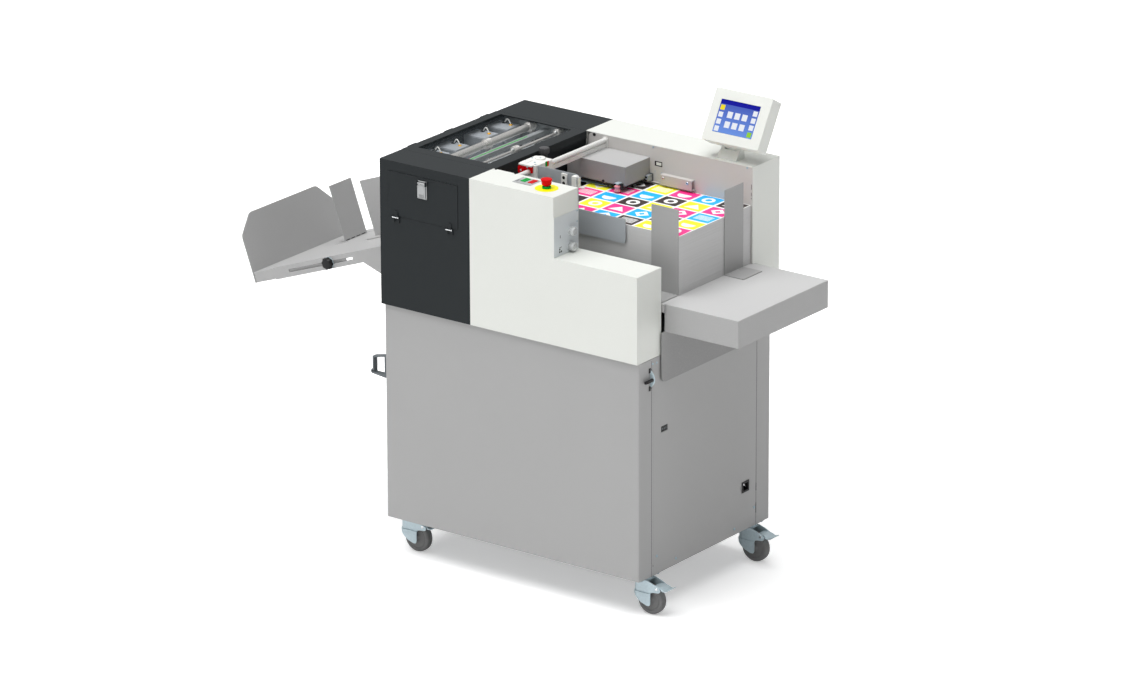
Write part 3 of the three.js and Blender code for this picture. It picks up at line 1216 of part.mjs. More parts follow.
function trayGuidePlate() {
  const { start, length, near, height, foot } = trayGuide;
  const { thick } = trayStop;
  return prism('x', outline([
    [near - foot, gap], [near + thick, gap], [near + thick, height], [near, height],
    [near, gap + thick], [near - foot, gap + thick],
  ]), [-start - length, -start]);
}

const machine = new THREE.Group();

machine.add(
  piece('cabinet_frame', cabinetFrame(), framePaint()),
  piece('cabinet_front_cover', cabinetFrontCover(), greyPaint()),
  piece('cabinet_rear_cover', cabinetRearCover(), greyPaint()),
  piece('cabinet_side_right', rightPanel(), greyPaint()),
  piece('cabinet_side_left', sidePanel(cabinet.left), greyPaint()),
  piece('mains_inlet', mainsInlet(), blackPlastic()),
  piece('docking_bow', dockingBow(), steel()),
  piece('side_latch', sideLatch(), blackPlastic()),
);

const cornerNames = ['front_left', 'front_right', 'rear_right', 'rear_left'];
castorPlaces().forEach(([x, y], i) => {
  const set = new THREE.Group();
  set.add(
    piece(`castor_fork_${cornerNames[i]}`, castorFork(), zinc()),
    piece(`castor_wheel_${cornerNames[i]}`, castorWheel(), paint('#767676', 0.7)),
    piece(`castor_pedal_${cornerNames[i]}`, castorPedal(), zinc()),
  );
  set.position.set(x, y, 0);
  machine.add(set);
});

machine.add(
  piece('dark_front_cover', darkFrontCover(), darkPaint()),
  piece('hatch_door', hatchDoor(), darkPaint()),
  piece('hatch_handle', hatchHandle(), silverPlastic()),
  piece('dark_rear_cover', darkRearCover(), darkPaint()),
  piece('lid_frame', lidFrame(), darkPaint()),
  piece('lid_window', lidWindow(), paint('#c8ccce', 0.1)),
  piece('sheet_deck', sheetDeck(), steel()),
  piece('perforating_bar', perforatingBar(), steel()),
  piece('perforating_disc_front', perforatingDisc(headPlaces()[0]), steel()),
  piece('perforating_disc_rear', perforatingDisc(headPlaces()[1]), steel()),
  piece('hold_down_bar', holdDownBar(), steel()),
  piece('actuator_bar', actuatorBar(), paint('#85898c', 0.5, 0.3)),
  piece('crease_beam', creaseBeam(), steel()),
  piece('infeed_roller_upper', infeedRoller(upperRollerZ()), paint('#4a4d50', 0.6, 0.3)),
  piece('infeed_roller_lower', infeedRoller(lowerRollerZ()), paint('#4a4d50', 0.6, 0.3)),
  piece('operator_cover', operatorCover(), whitePaint()),
  piece('start_key', keyCap(startAlong), paint('#00a83c', 0.4)),
  piece('stop_key', keyCap(stopAlong), paint('#e00a0a', 0.4)),
  piece('emergency_stop', estopButton(), paint('#d80808', 0.35)),
  piece('air_knob_upper', panelKnob(airKnob.upperDrop), silverPlastic()),
  piece('air_knob_lower', panelKnob(airKnob.lowerDrop), silverPlastic()),
  piece('rear_housing', rearHousing(), whitePaint()),
  piece('feeder_back_plate', backPlate(), paint('#beb8b5', 0.5)),
  piece('feed_table', feedTable(), paint('#c4c4c4', 0.5)),
  piece('paper_stack', paperStack(), paint('#f2f2f0', 0.9)),
  piece('near_guide', nearGuidePlate(), paint('#a0a0a0', 0.45, 0.5)),
  piece('tail_guide', tailGuidePlate(), paint('#a0a0a0', 0.45, 0.5)),
  piece('feed_head', feedHead(), paint('#8f9092', 0.5, 0.3)),
  piece('suction_rotor', suctionRotor(), blackPlastic()),
  piece('guide_bar', guideBar(), steel()),
  piece('guide_carriage', guideCarriage(), whitePaint()),
  piece('clamp_lever', clampLever(), paint('#d81414', 0.4)),
  piece('side_guide', sideGuidePlate(), steel()),
  piece('infeed_knob', infeedKnobCap(), blackPlastic()),
);

const screenSet = new THREE.Group();
screenSet.add(piece('monitor_case', monitorCase(), whitePaint()));
screenSet.position.set(monitorLeft, monitorNear, top + monitor.rise);
screenSet.rotation.x = -THREE.MathUtils.degToRad(monitor.tilt);
machine.add(screenSet);

const traySet = new THREE.Group();
traySet.add(
  piece('tray_channel', trayChannel(), greyPaint()),
  piece('tray_extension', trayExtension(), greyPaint()),
  piece('tray_knob', trayClampKnob(), blackPlastic()),
  piece('tray_stop', trayStopPlate(), greyPaint()),
  piece('tray_guide', trayGuidePlate(), greyPaint()),
);
const slope = THREE.MathUtils.degToRad(tray.slope);
traySet.position.set(-gap - tray.wall * Math.sin(slope), 0, top - tray.drop);
traySet.rotation.y = -slope;
machine.add(traySet);

// The origin goes to the middle of the ground under the whole machine
machine.updateMatrixWorld(true);
const bounds = new THREE.Box3().setFromObject(machine, true);
const middle = bounds.getCenter(new THREE.Vector3());
machine.children.forEach((child) => {
  child.position.x -= middle.x;
  child.position.y -= middle.y;
  child.position.z -= bounds.min.z;
});
machine.updateMatrixWorld(true);

export default machine;
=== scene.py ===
# %% [markdown]
# # A creasing and perforating machine
# A floor-standing machine for card and paper: sheets leave the pile on the right, pass the creasing and
# perforating tools under the clear lid, and land on the sloping tray on the left. The frame's solids are
# already to size. This script paints them, puts finer surfaces in place of the round and pressed parts, and
# adds what is too small for the solids: screws, plates, print, leads and marks.

# %% Frame
import math
import bmesh
import bpy
import numpy as np
from mathutils import Euler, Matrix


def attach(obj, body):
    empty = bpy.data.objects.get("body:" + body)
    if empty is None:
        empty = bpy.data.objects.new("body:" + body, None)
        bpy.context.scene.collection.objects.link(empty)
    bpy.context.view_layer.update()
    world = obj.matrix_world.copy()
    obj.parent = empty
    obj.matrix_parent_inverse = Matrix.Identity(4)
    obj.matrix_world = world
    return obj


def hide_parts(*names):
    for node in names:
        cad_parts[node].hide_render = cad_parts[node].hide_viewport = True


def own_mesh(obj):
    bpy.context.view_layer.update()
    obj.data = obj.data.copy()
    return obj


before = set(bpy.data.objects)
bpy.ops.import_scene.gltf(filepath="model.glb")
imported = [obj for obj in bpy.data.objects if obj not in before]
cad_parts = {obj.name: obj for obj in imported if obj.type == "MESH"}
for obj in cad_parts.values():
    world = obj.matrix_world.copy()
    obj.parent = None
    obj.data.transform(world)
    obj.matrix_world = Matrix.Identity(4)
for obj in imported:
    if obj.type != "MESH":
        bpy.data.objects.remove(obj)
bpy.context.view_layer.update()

# %% [markdown]
# The frame's origin lies on the floor under the middle of the machine. The drawing counts millimetres from
# the left end of the creasing unit, from the operator's face and from the floor, so one function turns a
# place in the drawing into a place in the frame. The top deck is 1100 mm up.

# %% Places
MIDDLE = np.array([243.19935, 310.0, 0.0])
TOP = 1100.0


def metres(points):
    """Millimetres of the drawing in the frame's metres: less the frame's own origin, over a thousand."""
    return (np.asarray(points, float).reshape(-1, 3) - MIDDLE) / 1000


def add_object(name, data):
    """A new object of the scene that holds the data."""
    made = bpy.data.objects.new(name, data)
    bpy.context.collection.objects.link(made)
    return made


print("pile's top:", metres([376, 187, TOP - 104])[0].round(3))

# %% [markdown]
# ## Camera, floor and light
# The photograph was taken with a long lens from the operator's right, 37 degrees round and 19 degrees up.
# The camera comes first, since every later choice is judged through it.

# %% Camera
lens = bpy.data.cameras.new("long_lens")
lens.lens, lens.sensor_width, lens.clip_end = 216.0, 36.0, 100.0
camera = add_object("camera", lens)
camera.location = (10.2737, -13.6320, 6.5626)
camera.rotation_euler = Euler([math.radians(a) for a in (70.5416, 0.1587, 36.5598)])
bpy.context.scene.camera = camera
print("camera stands", round(camera.location.length, 2), "m away")

# %% [markdown]
# The floor is one wide pale sheet, lit like everything else, so it keeps the machine's soft shadow. It glows
# a little to the camera alone, which keeps that shadow light. The world gives even light from all round and
# is plain white to the camera. Two broad suns with soft edges make the top the brightest side and the
# right-hand side the darkest, as in the photograph.

# %% Floor, world and suns
bpy.context.scene.view_settings.view_transform = "Standard"


def make_floor(half=30.0, glow_level=0.38):
    """A square of one face on the ground, twice half wide. Emission = glow level for camera rays, else 0."""
    mesh = bpy.data.meshes.new("floor")
    corners = [(-half, -half, 0), (half, -half, 0), (half, half, 0), (-half, half, 0)]
    mesh.from_pydata(corners, [], [[0, 1, 2, 3]])
    paint = bpy.data.materials.new("floor_paint")
    paint.use_nodes = True
    nodes, links = paint.node_tree.nodes, paint.node_tree.links
    shader = nodes["Principled BSDF"]
    for name, value in {"Base Color": (0.90, 0.90, 0.90, 1), "Roughness": 0.9, "Specular IOR Level": 0.1,
                        "Emission Color": (1, 1, 1, 1)}.items():
        shader.inputs[name].default_value = value
    rays = nodes.new("ShaderNodeLightPath")
    glow = nodes.new("ShaderNodeMath")
    glow.operation = "MULTIPLY"
    glow.inputs[1].default_value = glow_level
    links.new(rays.outputs["Is Camera Ray"], glow.inputs[0])
    links.new(glow.outputs[0], shader.inputs["Emission Strength"])
    mesh.materials.append(paint)
    floor = add_object("floor", mesh)


def make_world(strength, mirrored_strength):
    """Even light of one strength, another for mirror-like rays, and plain white for the camera."""
    world = bpy.data.worlds.new("studio")
    bpy.context.scene.world = world
    world.use_nodes = True
    nodes, links = world.node_tree.nodes, world.node_tree.links
    rays = nodes.new("ShaderNodeLightPath")
    below = nodes["Background"]
    below.inputs["Color"].default_value = (1, 1, 1, 1)
    below.inputs["Strength"].default_value = strength
    for ray, level in [("Is Glossy Ray", mirrored_strength), ("Is Camera Ray", 1.0)]:
        other = nodes.new("ShaderNodeBackground")
        other.inputs["Strength"].default_value = level
        mix = nodes.new("ShaderNodeMixShader")
        for number, source in enumerate([rays.outputs[ray], below.outputs[0], other.outputs[0]]):
            links.new(source, mix.inputs[number])
        below = mix
    links.new(below.outputs[0], nodes["World Output"].inputs["Surface"])


def make_sun(name, direction, level, width):
    """A sun from a direction, width degrees wide, at a level where 1 renders a colour as written."""
    lamp = bpy.data.lights.new(name, "SUN")
    lamp.energy, lamp.angle = level * math.pi, math.radians(width)
    x, y, z = direction
    turn = (math.atan2(math.hypot(x, y), z), 0, math.atan2(y, x) + math.pi / 2)
    add_object(name, lamp).rotation_euler = turn


make_floor()
make_world(0.27, 0.75)
make_sun("sun_above", (-0.10, -0.16, 1.0), 1.04, 60)
make_sun("sun_front", (-0.10, -1.0, 0.08), 0.17, 50)

# %% [markdown]
# ## Shapes as arrays
# Every new surface is worked out as a whole array of points. A grid of points with two parameters becomes
# faces by joining each point to its neighbours. A turned part is such a grid, made of a profile and an
# angle. A plate is an outline in two places with a face on each side. Several shells go into one piece.

# %% Grids, turned parts and plates
AXES = {"x": (0, 1, 2), "y": (1, 2, 0), "z": (2, 0, 1)}


def rect(x0, y0, x1, y1):
    """The four corners of a rectangle, anticlockwise."""
    return [[x0, y0], [x1, y0], [x1, y1], [x0, y1]]


def closed(line):
    """The line with its first point again at its end."""
    return np.vstack([line, line[:1]])


def grid(points, wrap_u=False, wrap_v=False):
    """Points and faces of a surface: point (i, j) makes a face with its neighbours ahead in i and in j."""
    count_u, count_v = points.shape[:2]
    number = np.arange(count_u * count_v).reshape(count_u, count_v)
    here, ahead = (number, np.roll(number, -1, 0)) if wrap_u else (number[:-1], number[1:])
    near = (lambda n: n) if wrap_v else (lambda n: n[:, :-1])
    far = (lambda n: np.roll(n, -1, 1)) if wrap_v else (lambda n: n[:, 1:])
    faces = np.stack([near(here), near(ahead), far(ahead), far(here)], -1).reshape(-1, 4)
    return points.reshape(-1, 3), faces.tolist()


def turned(axis, centre, profile, sides=48, flutes=0, cut=0.0):
    """A profile of [radius, place along the axis] turned round it: the angle gives cosine and sine parts.

    With flutes, the radius loses cut times a cosine wave, on rows whose third number is 1."""
    profile = np.asarray(profile, float)
    angle = np.arange(sides) * 2 * math.pi / sides
    wave = cut * (0.5 - 0.5 * np.cos(flutes * angle))
    weight = profile[:, 2:3] if profile.shape[1] > 2 else 0.0
    radius = profile[:, :1] - weight * wave
    points = np.zeros((len(profile), sides, 3))
    along, first, second = AXES[axis]
    points[:, :, along] = profile[:, 1:2]
    points[:, :, first] = radius * np.cos(angle)
    points[:, :, second] = radius * np.sin(angle)
    return grid(points + np.asarray(centre, float), wrap_v=True)


def eased(line, radius, steps=3):
    """The line with each inner corner drawn as a short quadratic curve that starts one radius before it."""
    line = np.asarray(line, float)
    before, here, after = line[:-2], line[1:-1], line[2:]
    back, on = before - here, after - here
    back_length = np.linalg.norm(back, axis=1, keepdims=True)
    on_length = np.linalg.norm(on, axis=1, keepdims=True)
    reach = np.minimum(radius, 0.45 * np.minimum(back_length, on_length))
    start, end = here + back / back_length * reach, here + on / on_length * reach
    t = np.linspace(0, 1, steps + 1)[:, None, None]
    curve = (1 - t) ** 2 * start + 2 * t * (1 - t) * here + t ** 2 * end
    return np.vstack([line[:1], curve.transpose(1, 0, 2).reshape(-1, line.shape[1]), line[-1:]])


def ring_eased(outline, radius, steps=3):
    """A closed outline with every corner eased: opened in the middle of its last side and closed again."""
    outline = np.asarray(outline, float)
    middle = (outline[-1] + outline[0]) / 2
    return eased(np.vstack([middle, outline, middle]), radius, steps)[:-1]


def plate(axis, outline, span):
    """An outline at both ends of a span along an axis, with side faces between and one face at each end.

    The outline lies in (y, z) for x, in (x, z) for y and in (x, y) for z."""
    outline = np.asarray(outline, float)
    count = len(outline)
    points = np.zeros((2, count, 3))
    along = "xyz".index(axis)
    points[:, :, [k for k in range(3) if k != along]] = outline
    points[:, :, along] = np.asarray(span, float)[:, None]
    vertices, faces = grid(points, wrap_v=True)
    first = np.arange(count)
    return vertices, faces + [first[::-1].tolist(), (first + count).tolist()]


def block(x, y, z):
    """A box between two places on each axis."""
    return plate("z", rect(x[0], y[0], x[1], y[1]), z)


def tube(path, radius, sides=12):
    """A round section carried along a path: its first direction is square to the path and turns with it."""
    path = np.asarray(path, float)
    ahead = np.gradient(path, axis=0)
    ahead /= np.linalg.norm(ahead, axis=1, keepdims=True)
    side = np.cross(ahead, [0.0, 0.0, 1.0])
    flat = np.linalg.norm(side, axis=1, keepdims=True)
    side = np.where(flat > 1e-3, side / np.maximum(flat, 1e-9), [[1.0, 0.0, 0.0]])
    up = np.cross(side, ahead)
    angle = np.arange(sides) * 2 * math.pi / sides
    circle = np.cos(angle)[None, :, None] * side[:, None] + np.sin(angle)[None, :, None] * up[:, None]
    rings = path[:, None] + radius * circle
    first, last = np.repeat(path[:1, None], sides, 1), np.repeat(path[-1:, None], sides, 1)
    return grid(np.concatenate([first, rings, last]), wrap_v=True)


def folded(points, thick):
    """Sheet metal: a grid of points on one face, the same grid a thickness away, and rims all round.

    The normal is the cross product of the grid's two directions, and the thickness counts against it. A row
    of no length has no normal, so its inner points and its rim aren't numbers."""
    normal = np.cross(np.gradient(points, axis=0), np.gradient(points, axis=1))
    normal /= np.linalg.norm(normal, axis=2, keepdims=True)
    inner = points - thick * normal
    middle = (points + inner) / 2
    loop = np.concatenate([points, inner[:, ::-1]], 1)
    cap = np.concatenate([middle, middle[:, ::-1]], 1)
    return grid(np.concatenate([cap[:1], loop, cap[-1:]]), wrap_v=True)


def screw(face, place, radius=3.2, height=1.7):
    """A button head with a socket, of few faces, standing on a face that is an axis with its sign."""
    sign = -1 if face[0] == "-" else 1
    profile = np.array([[0, 0], [1, 0], [1, 0.5], [0.84, 1], [0.5, 1], [0.42, 0.4], [0, 0.4]])
    return turned(face[-1], place, profile * [radius, sign * height], 14)


def moved(shell, step):
    """The shell a step further on."""
    return (shell[0] + np.asarray(step, float), *shell[1:])


print("a turned ring has", len(turned("z", [0, 0, 0], closed(rect(1, 0, 2, 1)))[1]), "faces")

# %% [markdown]
# A piece is made shell by shell: doubled points at seams and poles are merged, all faces are turned outward,
# and then the shells are joined. It is shaded smooth except over real edges. Plates get a small live bevel,
# because no sheet or moulding has a knife edge.

# %% Pieces
def add_shell(whole, points, faces, number):
    """Merges one closed shell's doubled points, turns its faces outward and adds it to the whole."""
    part = bpy.data.meshes.new("part")
    part.from_pydata(metres(points).tolist(), [], faces)
    part.polygons.foreach_set("material_index", np.full(len(faces), number, np.int32))
    work = bmesh.new()
    work.from_mesh(part)
    bmesh.ops.remove_doubles(work, verts=work.verts, dist=2e-6)
    bmesh.ops.recalc_face_normals(work, faces=work.faces)
    work.to_mesh(part)
    work.free()
    whole.from_mesh(part)
    bpy.data.meshes.remove(part)


def make(name, body, shells, finish, bevel=0.0, smooth=35, stands_for=(), steps=2):
    """Joins shells, each (points, faces) or (points, faces, finish number), into a piece riding a body."""
    finishes = finish if isinstance(finish, (list, tuple)) else [finish]
    whole = bmesh.new()
    for points, faces, *number in shells:
        add_shell(whole, points, faces, number[0] if number else 0)
    mesh = bpy.data.meshes.new(name)
    whole.to_mesh(mesh)
    whole.free()
    for item in finishes:
        mesh.materials.append(item)
    mesh.shade_smooth()
    mesh.set_sharp_from_angle(angle=math.radians(smooth))
    piece = add_object(name, mesh)
    if bevel:
        edge = piece.modifiers.new("edge", "BEVEL")
        edge.width, edge.segments = bevel / 1000, steps
        edge.limit_method, edge.angle_limit = "ANGLE", math.radians(40)
        edge.harden_normals = True
    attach(piece, body)
    if stands_for:
        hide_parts(*stands_for)
    return piece


def fit(body, *rows):
    """Small pieces of plain blocks: each row is a name, a finish, a bevel and its blocks' spans."""
    for name, finish, bevel, spans in rows:
        make(name, body, [block(*span) for span in spans], finish, bevel=bevel)


# %% [markdown]
# ## Finishes
# Shader sums read best as plain arithmetic, so a small class wraps a socket and adds a Math node for each
# operation. A finish is a material with one Principled shader, whose colour, roughness and bump are such
# sums.

# %% Shader arithmetic
class Wire:
    """One output socket. Arithmetic on it adds Math nodes, with numbers on either side."""

    def __init__(self, finish, socket):
        self.finish, self.socket = finish, socket


def operation(kind, swapped):
    """A method that adds one Math node to the wire's material, its own wire last where swapped."""
    def act(self, *others):
        values = [*others, self] if swapped else [self, *others]
        return self.finish.node("ShaderNodeMath", {"operation": kind}, values)
    return act


FORWARD = dict(__add__="ADD", __sub__="SUBTRACT", __mul__="MULTIPLY", __truediv__="DIVIDE",
               __lt__="LESS_THAN", __gt__="GREATER_THAN", __abs__="ABSOLUTE", floor="FLOOR", part="FRACT")
SWAPPED = dict(__radd__="ADD", __rsub__="SUBTRACT", __rmul__="MULTIPLY")
for kinds in (FORWARD, SWAPPED):
    for method, kind in kinds.items():
        setattr(Wire, method, operation(kind, kinds is SWAPPED))


def colour(*levels):
    """Screen levels from 0 to 255, three of them or one for a grey, in the shader's linear numbers."""
    screen = np.array(levels if len(levels) == 3 else levels * 3) / 255
    linear = np.where(screen <= 0.04045, screen / 12.92, ((screen + 0.055) / 1.055) ** 2.4)
    return (*[float(v) for v in linear], 1.0)


def lighter(base, factor):
    """The colour times a factor, no brighter than white."""
    return (*[min(1.0, v * factor) for v in base[:3]], 1.0)


class Finish:
    """A material under construction: its place on the object, its noises and masks, and its shader."""

    def __init__(self, name, slot):
        self.material = bpy.data.materials.new(name)
        self.material.use_nodes = True
        self.material["slot"] = slot
        self.tree = self.material.node_tree
        self.shader = self.tree.nodes["Principled BSDF"]
        self.place = self.node("ShaderNodeTexCoord", out="Object")
        axes = [self.node("ShaderNodeSeparateXYZ", {}, [self.place], out=k) for k in "XYZ"]
        self.x, self.y, self.z = [axis * 1000 + float(shift) for axis, shift in zip(axes, MIDDLE)]

    def feed(self, socket, value):
        """Links a wire to the socket, or sets the socket to a constant."""
        if isinstance(value, Wire):
            self.tree.links.new(value.socket, socket)
        else:
            socket.default_value = value

    def node(self, kind, settings=None, values=(), out=0):
        """Adds a node: its settings first, then the values or wires of its sockets."""
        made = self.tree.nodes.new(kind)
        for key, value in (settings or {}).items():
            setattr(made, key, value)
        for key, value in values.items() if isinstance(values, dict) else enumerate(values):
            self.feed(made.inputs[key], value)
        return Wire(self, made.outputs[out])

    def noise(self, size, detail=2.0, stretch=(1, 1, 1), seed=0.0):
        """Noise from 0 to 1 whose spots are size millimetres wide, longer where stretch is more than 1."""
        scale = tuple(1000.0 / (size * s) for s in stretch)
        place = self.node("ShaderNodeMapping", {},
                          {"Vector": self.place, "Scale": scale, "Location": (seed, seed, seed)})
        return self.node("ShaderNodeTexNoise", {}, {"Vector": place, "Scale": 1.0, "Detail": detail})

    def blend(self, share, a, b):
        """Colour a, or b where share is 1."""
        return self.node("ShaderNodeMix", {"data_type": "RGBA"}, {0: share, 6: a, 7: b}, out=2)

    def shades(self, share, shade, dark, light):
        """The shade times dark, or times light where share is 1."""
        return self.blend(share, lighter(shade, dark), lighter(shade, light))

    def ramp(self, value, low, high):
        """0 below low, 1 above high, and a smooth rise between."""
        return self.node("ShaderNodeMapRange", {"interpolation_type": "SMOOTHSTEP"},
                         {"Value": value, "From Min": low, "From Max": high, "To Min": 0.0, "To Max": 1.0})

    def inside(self, value, low, high):
        """1 between two limits."""
        return (value > low) * (value < high)

    def rounding(self, radius):
        """Normals as if every edge had a radius in millimetres."""
        return self.node("ShaderNodeBevel", {"samples": 6}, {"Radius": radius / 1000})

    def edges(self, radius):
        """1 on edges and 0 on flats: how far the rounded normal turns away from the flat one."""
        flat = self.node("ShaderNodeNewGeometry", out="True Normal")
        match = self.node("ShaderNodeVectorMath", {"operation": "DOT_PRODUCT"},
                          [self.rounding(radius), flat], out="Value")
        return self.ramp(1 - match, 0.02, 0.22)

    def done(self, base, rough, metal=0.0, bump=None, depth=0.05, rounding=0.8, **constants):
        """Feeds the shader. Bump heights count in millimetres of depth, and edges are rounded in shading."""
        named = {key.replace("_", " "): value for key, value in constants.items()}
        for key, value in {"Base Color": base, "Roughness": rough, "Metallic": metal, **named}.items():
            self.feed(self.shader.inputs[key], value)
        normal = self.rounding(rounding) if rounding else None
        if bump is not None:
            values = {"Strength": 1.0, "Distance": depth / 1000, "Height": bump}
            if normal is not None:
                values["Normal"] = normal
            normal = self.node("ShaderNodeBump", {}, values)
        if normal is not None:
            self.feed(self.shader.inputs["Normal"], normal)
        return self.material


print("mid grey is", round(colour(128)[0], 3), "in linear light")

# %% [markdown]
# Powder coat covers all the sheet metal. Close up it has a fine orange peel, and its gloss wanders a little.
# Edges take the knocks, so they are slightly lighter, and broad soft clouds keep large panels from looking
# dead. Where the photograph shows a face much darker at some heights, the coat has a zone of painted shade
# there: a darker colour between two heights that stands for shade, not for a different paint.

# %% Powder coats
def powder_coat(name, slot, shade, rough=0.45, wear=0.35, lift=1.3, clouds=0.05, gloss=0.3, painted_shade_zones=()):
    """Colour = shade with clouds, or a zone's darker painted shade between two heights, lifted on edges.

    Roughness wanders with the clouds, and the bump is the orange peel."""
    f = Finish(name, slot)
    cloud = f.noise(260, 2)
    speck = f.noise(2.2, 2, seed=3.0)
    edge = f.edges(1.2) * f.ramp(f.noise(9, 3, seed=1.0), 0.35, 0.75)
    base = f.shades(cloud, shade, 1 - clouds, 1 + clouds)
    # Painted shade: between a zone's two heights the colour is that zone's darker colour, which stands for
    # shade.
    for low, high, other in painted_shade_zones:
        base = f.blend(f.inside(f.z, low, high), base, other)
    base = f.blend(f.ramp(speck, 0.55, 0.8) * 0.25, base, lighter(shade, 1 + clouds + 0.08))
    base = f.blend(edge * wear, base, lighter(shade, lift))
    peel = f.noise(1.6, 2, seed=7.0)
    return f.done(base, cloud * 0.10 + speck * 0.06 + (rough - 0.08), bump=peel, depth=0.03, rounding=1.1,
                  Specular_IOR_Level=gloss)


SOFT = dict(rough=0.5, lift=1.12, clouds=0.02)
GREY = powder_coat("grey_coat", "painted_grey", colour(169), **SOFT)
# The feed head's faces below its top get a zone of painted shade.
FEED_GREY = powder_coat("feeder_grey_coat", "painted_grey", colour(180), **SOFT,
                        painted_shade_zones=[(900.0, 1064.6, colour(150))])
TRAY_GREY = powder_coat("tray_grey_coat", "painted_grey", colour(173), **SOFT)
WHITE = powder_coat("white_coat", "painted_white", colour(225, 227, 222), 0.42, 0.2, 1.05, 0.012)
DARK = powder_coat("dark_coat", "painted_dark", colour(38, 42, 44), 0.5, 0.45, 1.9, gloss=0.15)
BEIGE = powder_coat("beige_coat", "painted_beige", colour(203, 200, 197), 0.5, lift=1.1, clouds=0.02)
FRAME = powder_coat("frame_coat", "frame_steel", colour(150, 154, 156), 0.45, lift=1.2)
# The table's skirt and the plate that hangs below it get zones of painted shade.
TABLE_WHITE = powder_coat("table_coat", "painted_white", colour(190), 0.5, lift=1.1, clouds=0.02,
                          painted_shade_zones=[(761.0, 835.2, colour(171)), (500.0, 761.0, colour(146))])
GUIDE = powder_coat("guide_coat", "painted_grey", colour(164), 0.42, lift=1.2)
PINKISH = powder_coat("ledge_coat", "painted_beige", colour(190, 182, 181), 0.45, lift=1.1, clouds=0.02)
print("coats:", sum(m.name.endswith("coat") for m in bpy.data.materials))

# %% [markdown]
# Bare metals: a brushed steel has long fine scratches along one direction, which show in its roughness and
# bump. Zinc on the castors is bluish with a soft crystal pattern. Bright caps are nearly mirrors.

# %% Metals
def brushed(name, shade, rough=0.32, stretch=(60, 60, 1), size=0.5, dark=0.82, metal=1.0):
    """Colour and roughness follow noise drawn out along the brushing, with clouds of handling over it."""
    f = Finish(name, "bright_steel")
    line = f.noise(size, 3, stretch)
    cloud = f.noise(70, 2, seed=2.0)
    edge = f.edges(0.8)
    base = f.shades(line * 0.6 + cloud * 0.4, shade, dark, 1.0)
    base = f.blend(edge * 0.5, base, lighter(shade, 1.15))
    return f.done(base, line * 0.16 + cloud * 0.1 + (rough - 0.13), metal, bump=line, depth=0.012,
                  rounding=0.6)


def zinc_plate(name, shade, rough=0.42):
    """Colour follows a coarse crystal pattern and fine clouds, and edges are rubbed lighter."""
    f = Finish(name, "zinc")
    cell = f.node("ShaderNodeTexVoronoi", {}, {"Vector": f.place, "Scale": 160.0})
    cloud = f.noise(14, 3)
    base = f.shades(cell * 0.5 + cloud * 0.5, shade, 0.84, 1.06)
    base = f.blend(f.edges(0.9) * 0.5, base, lighter(shade, 1.2))
    return f.done(base, cloud * 0.2 + (rough - 0.1), 0.3, bump=f.noise(1.1, 2), depth=0.02)


TOOL_STEEL = brushed("tool_steel", colour(212, 210, 206), 0.3, (1, 60, 1), 0.4, 0.96, 0.65)
DECK_STEEL = brushed("deck_steel", colour(222, 226, 228), 0.4, (1, 80, 1), dark=0.96, metal=0.2)
PANEL_STEEL = brushed("panel_steel", colour(216, 221, 224), 0.4, (1, 80, 1), dark=0.95, metal=0.3)
ARM_STEEL = brushed("arm_steel", colour(176, 181, 186), 0.4, (80, 80, 1), dark=0.93, metal=0.2)
ROD = brushed("ground_rod", colour(236, 236, 233), 0.28, (1, 90, 1), 0.3, 0.98, 0.15)
CHROME = brushed("bright_cap", colour(236, 238, 240), 0.12, (1, 1, 1), 4.0, 0.95)
ZINC = zinc_plate("zinc", colour(196, 213, 220))
BOW = zinc_plate("bow_zinc", colour(104, 110, 114))
SCREW = zinc_plate("screw_zinc", colour(170, 190, 200), 0.35)
print("metals:", [m.name for m in (TOOL_STEEL, PANEL_STEEL, ARM_STEEL, ROD, CHROME, ZINC, BOW, SCREW)])

# %% [markdown]
# Plastics and rubber have a moulded grain: a very fine even bump and a slightly uneven gloss. Their edges
# are painted paler, a painted highlight.
# The lid's pane is clear, with a faint haze.

# %% Plastics, rubber and glass
def moulded(name, slot, shade, rough=0.45, grain=0.9, depth=0.03, lift=1.25, clouds=0.05, gloss=0.25,
            **constants):
    """Colour = shade with faint clouds and edges lifted as a painted highlight; bump = fine grain."""
    f = Finish(name, slot)
    cloud = f.noise(24, 3)
    fine = f.noise(grain, 2, seed=4.0)
    base = f.shades(cloud, shade, 1 - clouds, 1 + clouds)
    # Painted highlight: every edge is lifted towards a paler colour.
    base = f.blend(f.edges(0.7) * 0.4, base, lighter(shade, lift))
    return f.done(base, cloud * 0.12 + fine * 0.08 + (rough - 0.1), bump=fine, depth=depth, rounding=0.6,
                  Specular_IOR_Level=gloss, **constants)


def pane(name, slot):
    """Clear plastic: nearly see-through, with a faint grey haze that is stronger where it was wiped."""
    f = Finish(name, slot)
    smear = f.ramp(f.noise(90, 3, (1, 3, 1)), 0.4, 0.75)
    return f.done(colour(96, 106, 112), smear * 0.08 + 0.05, rounding=0, Alpha=smear * 0.03 + 0.05,
                  Specular_IOR_Level=0.2)


BRIGHT = dict(rough=0.45, grain=1.2, depth=0.01, lift=1.05)
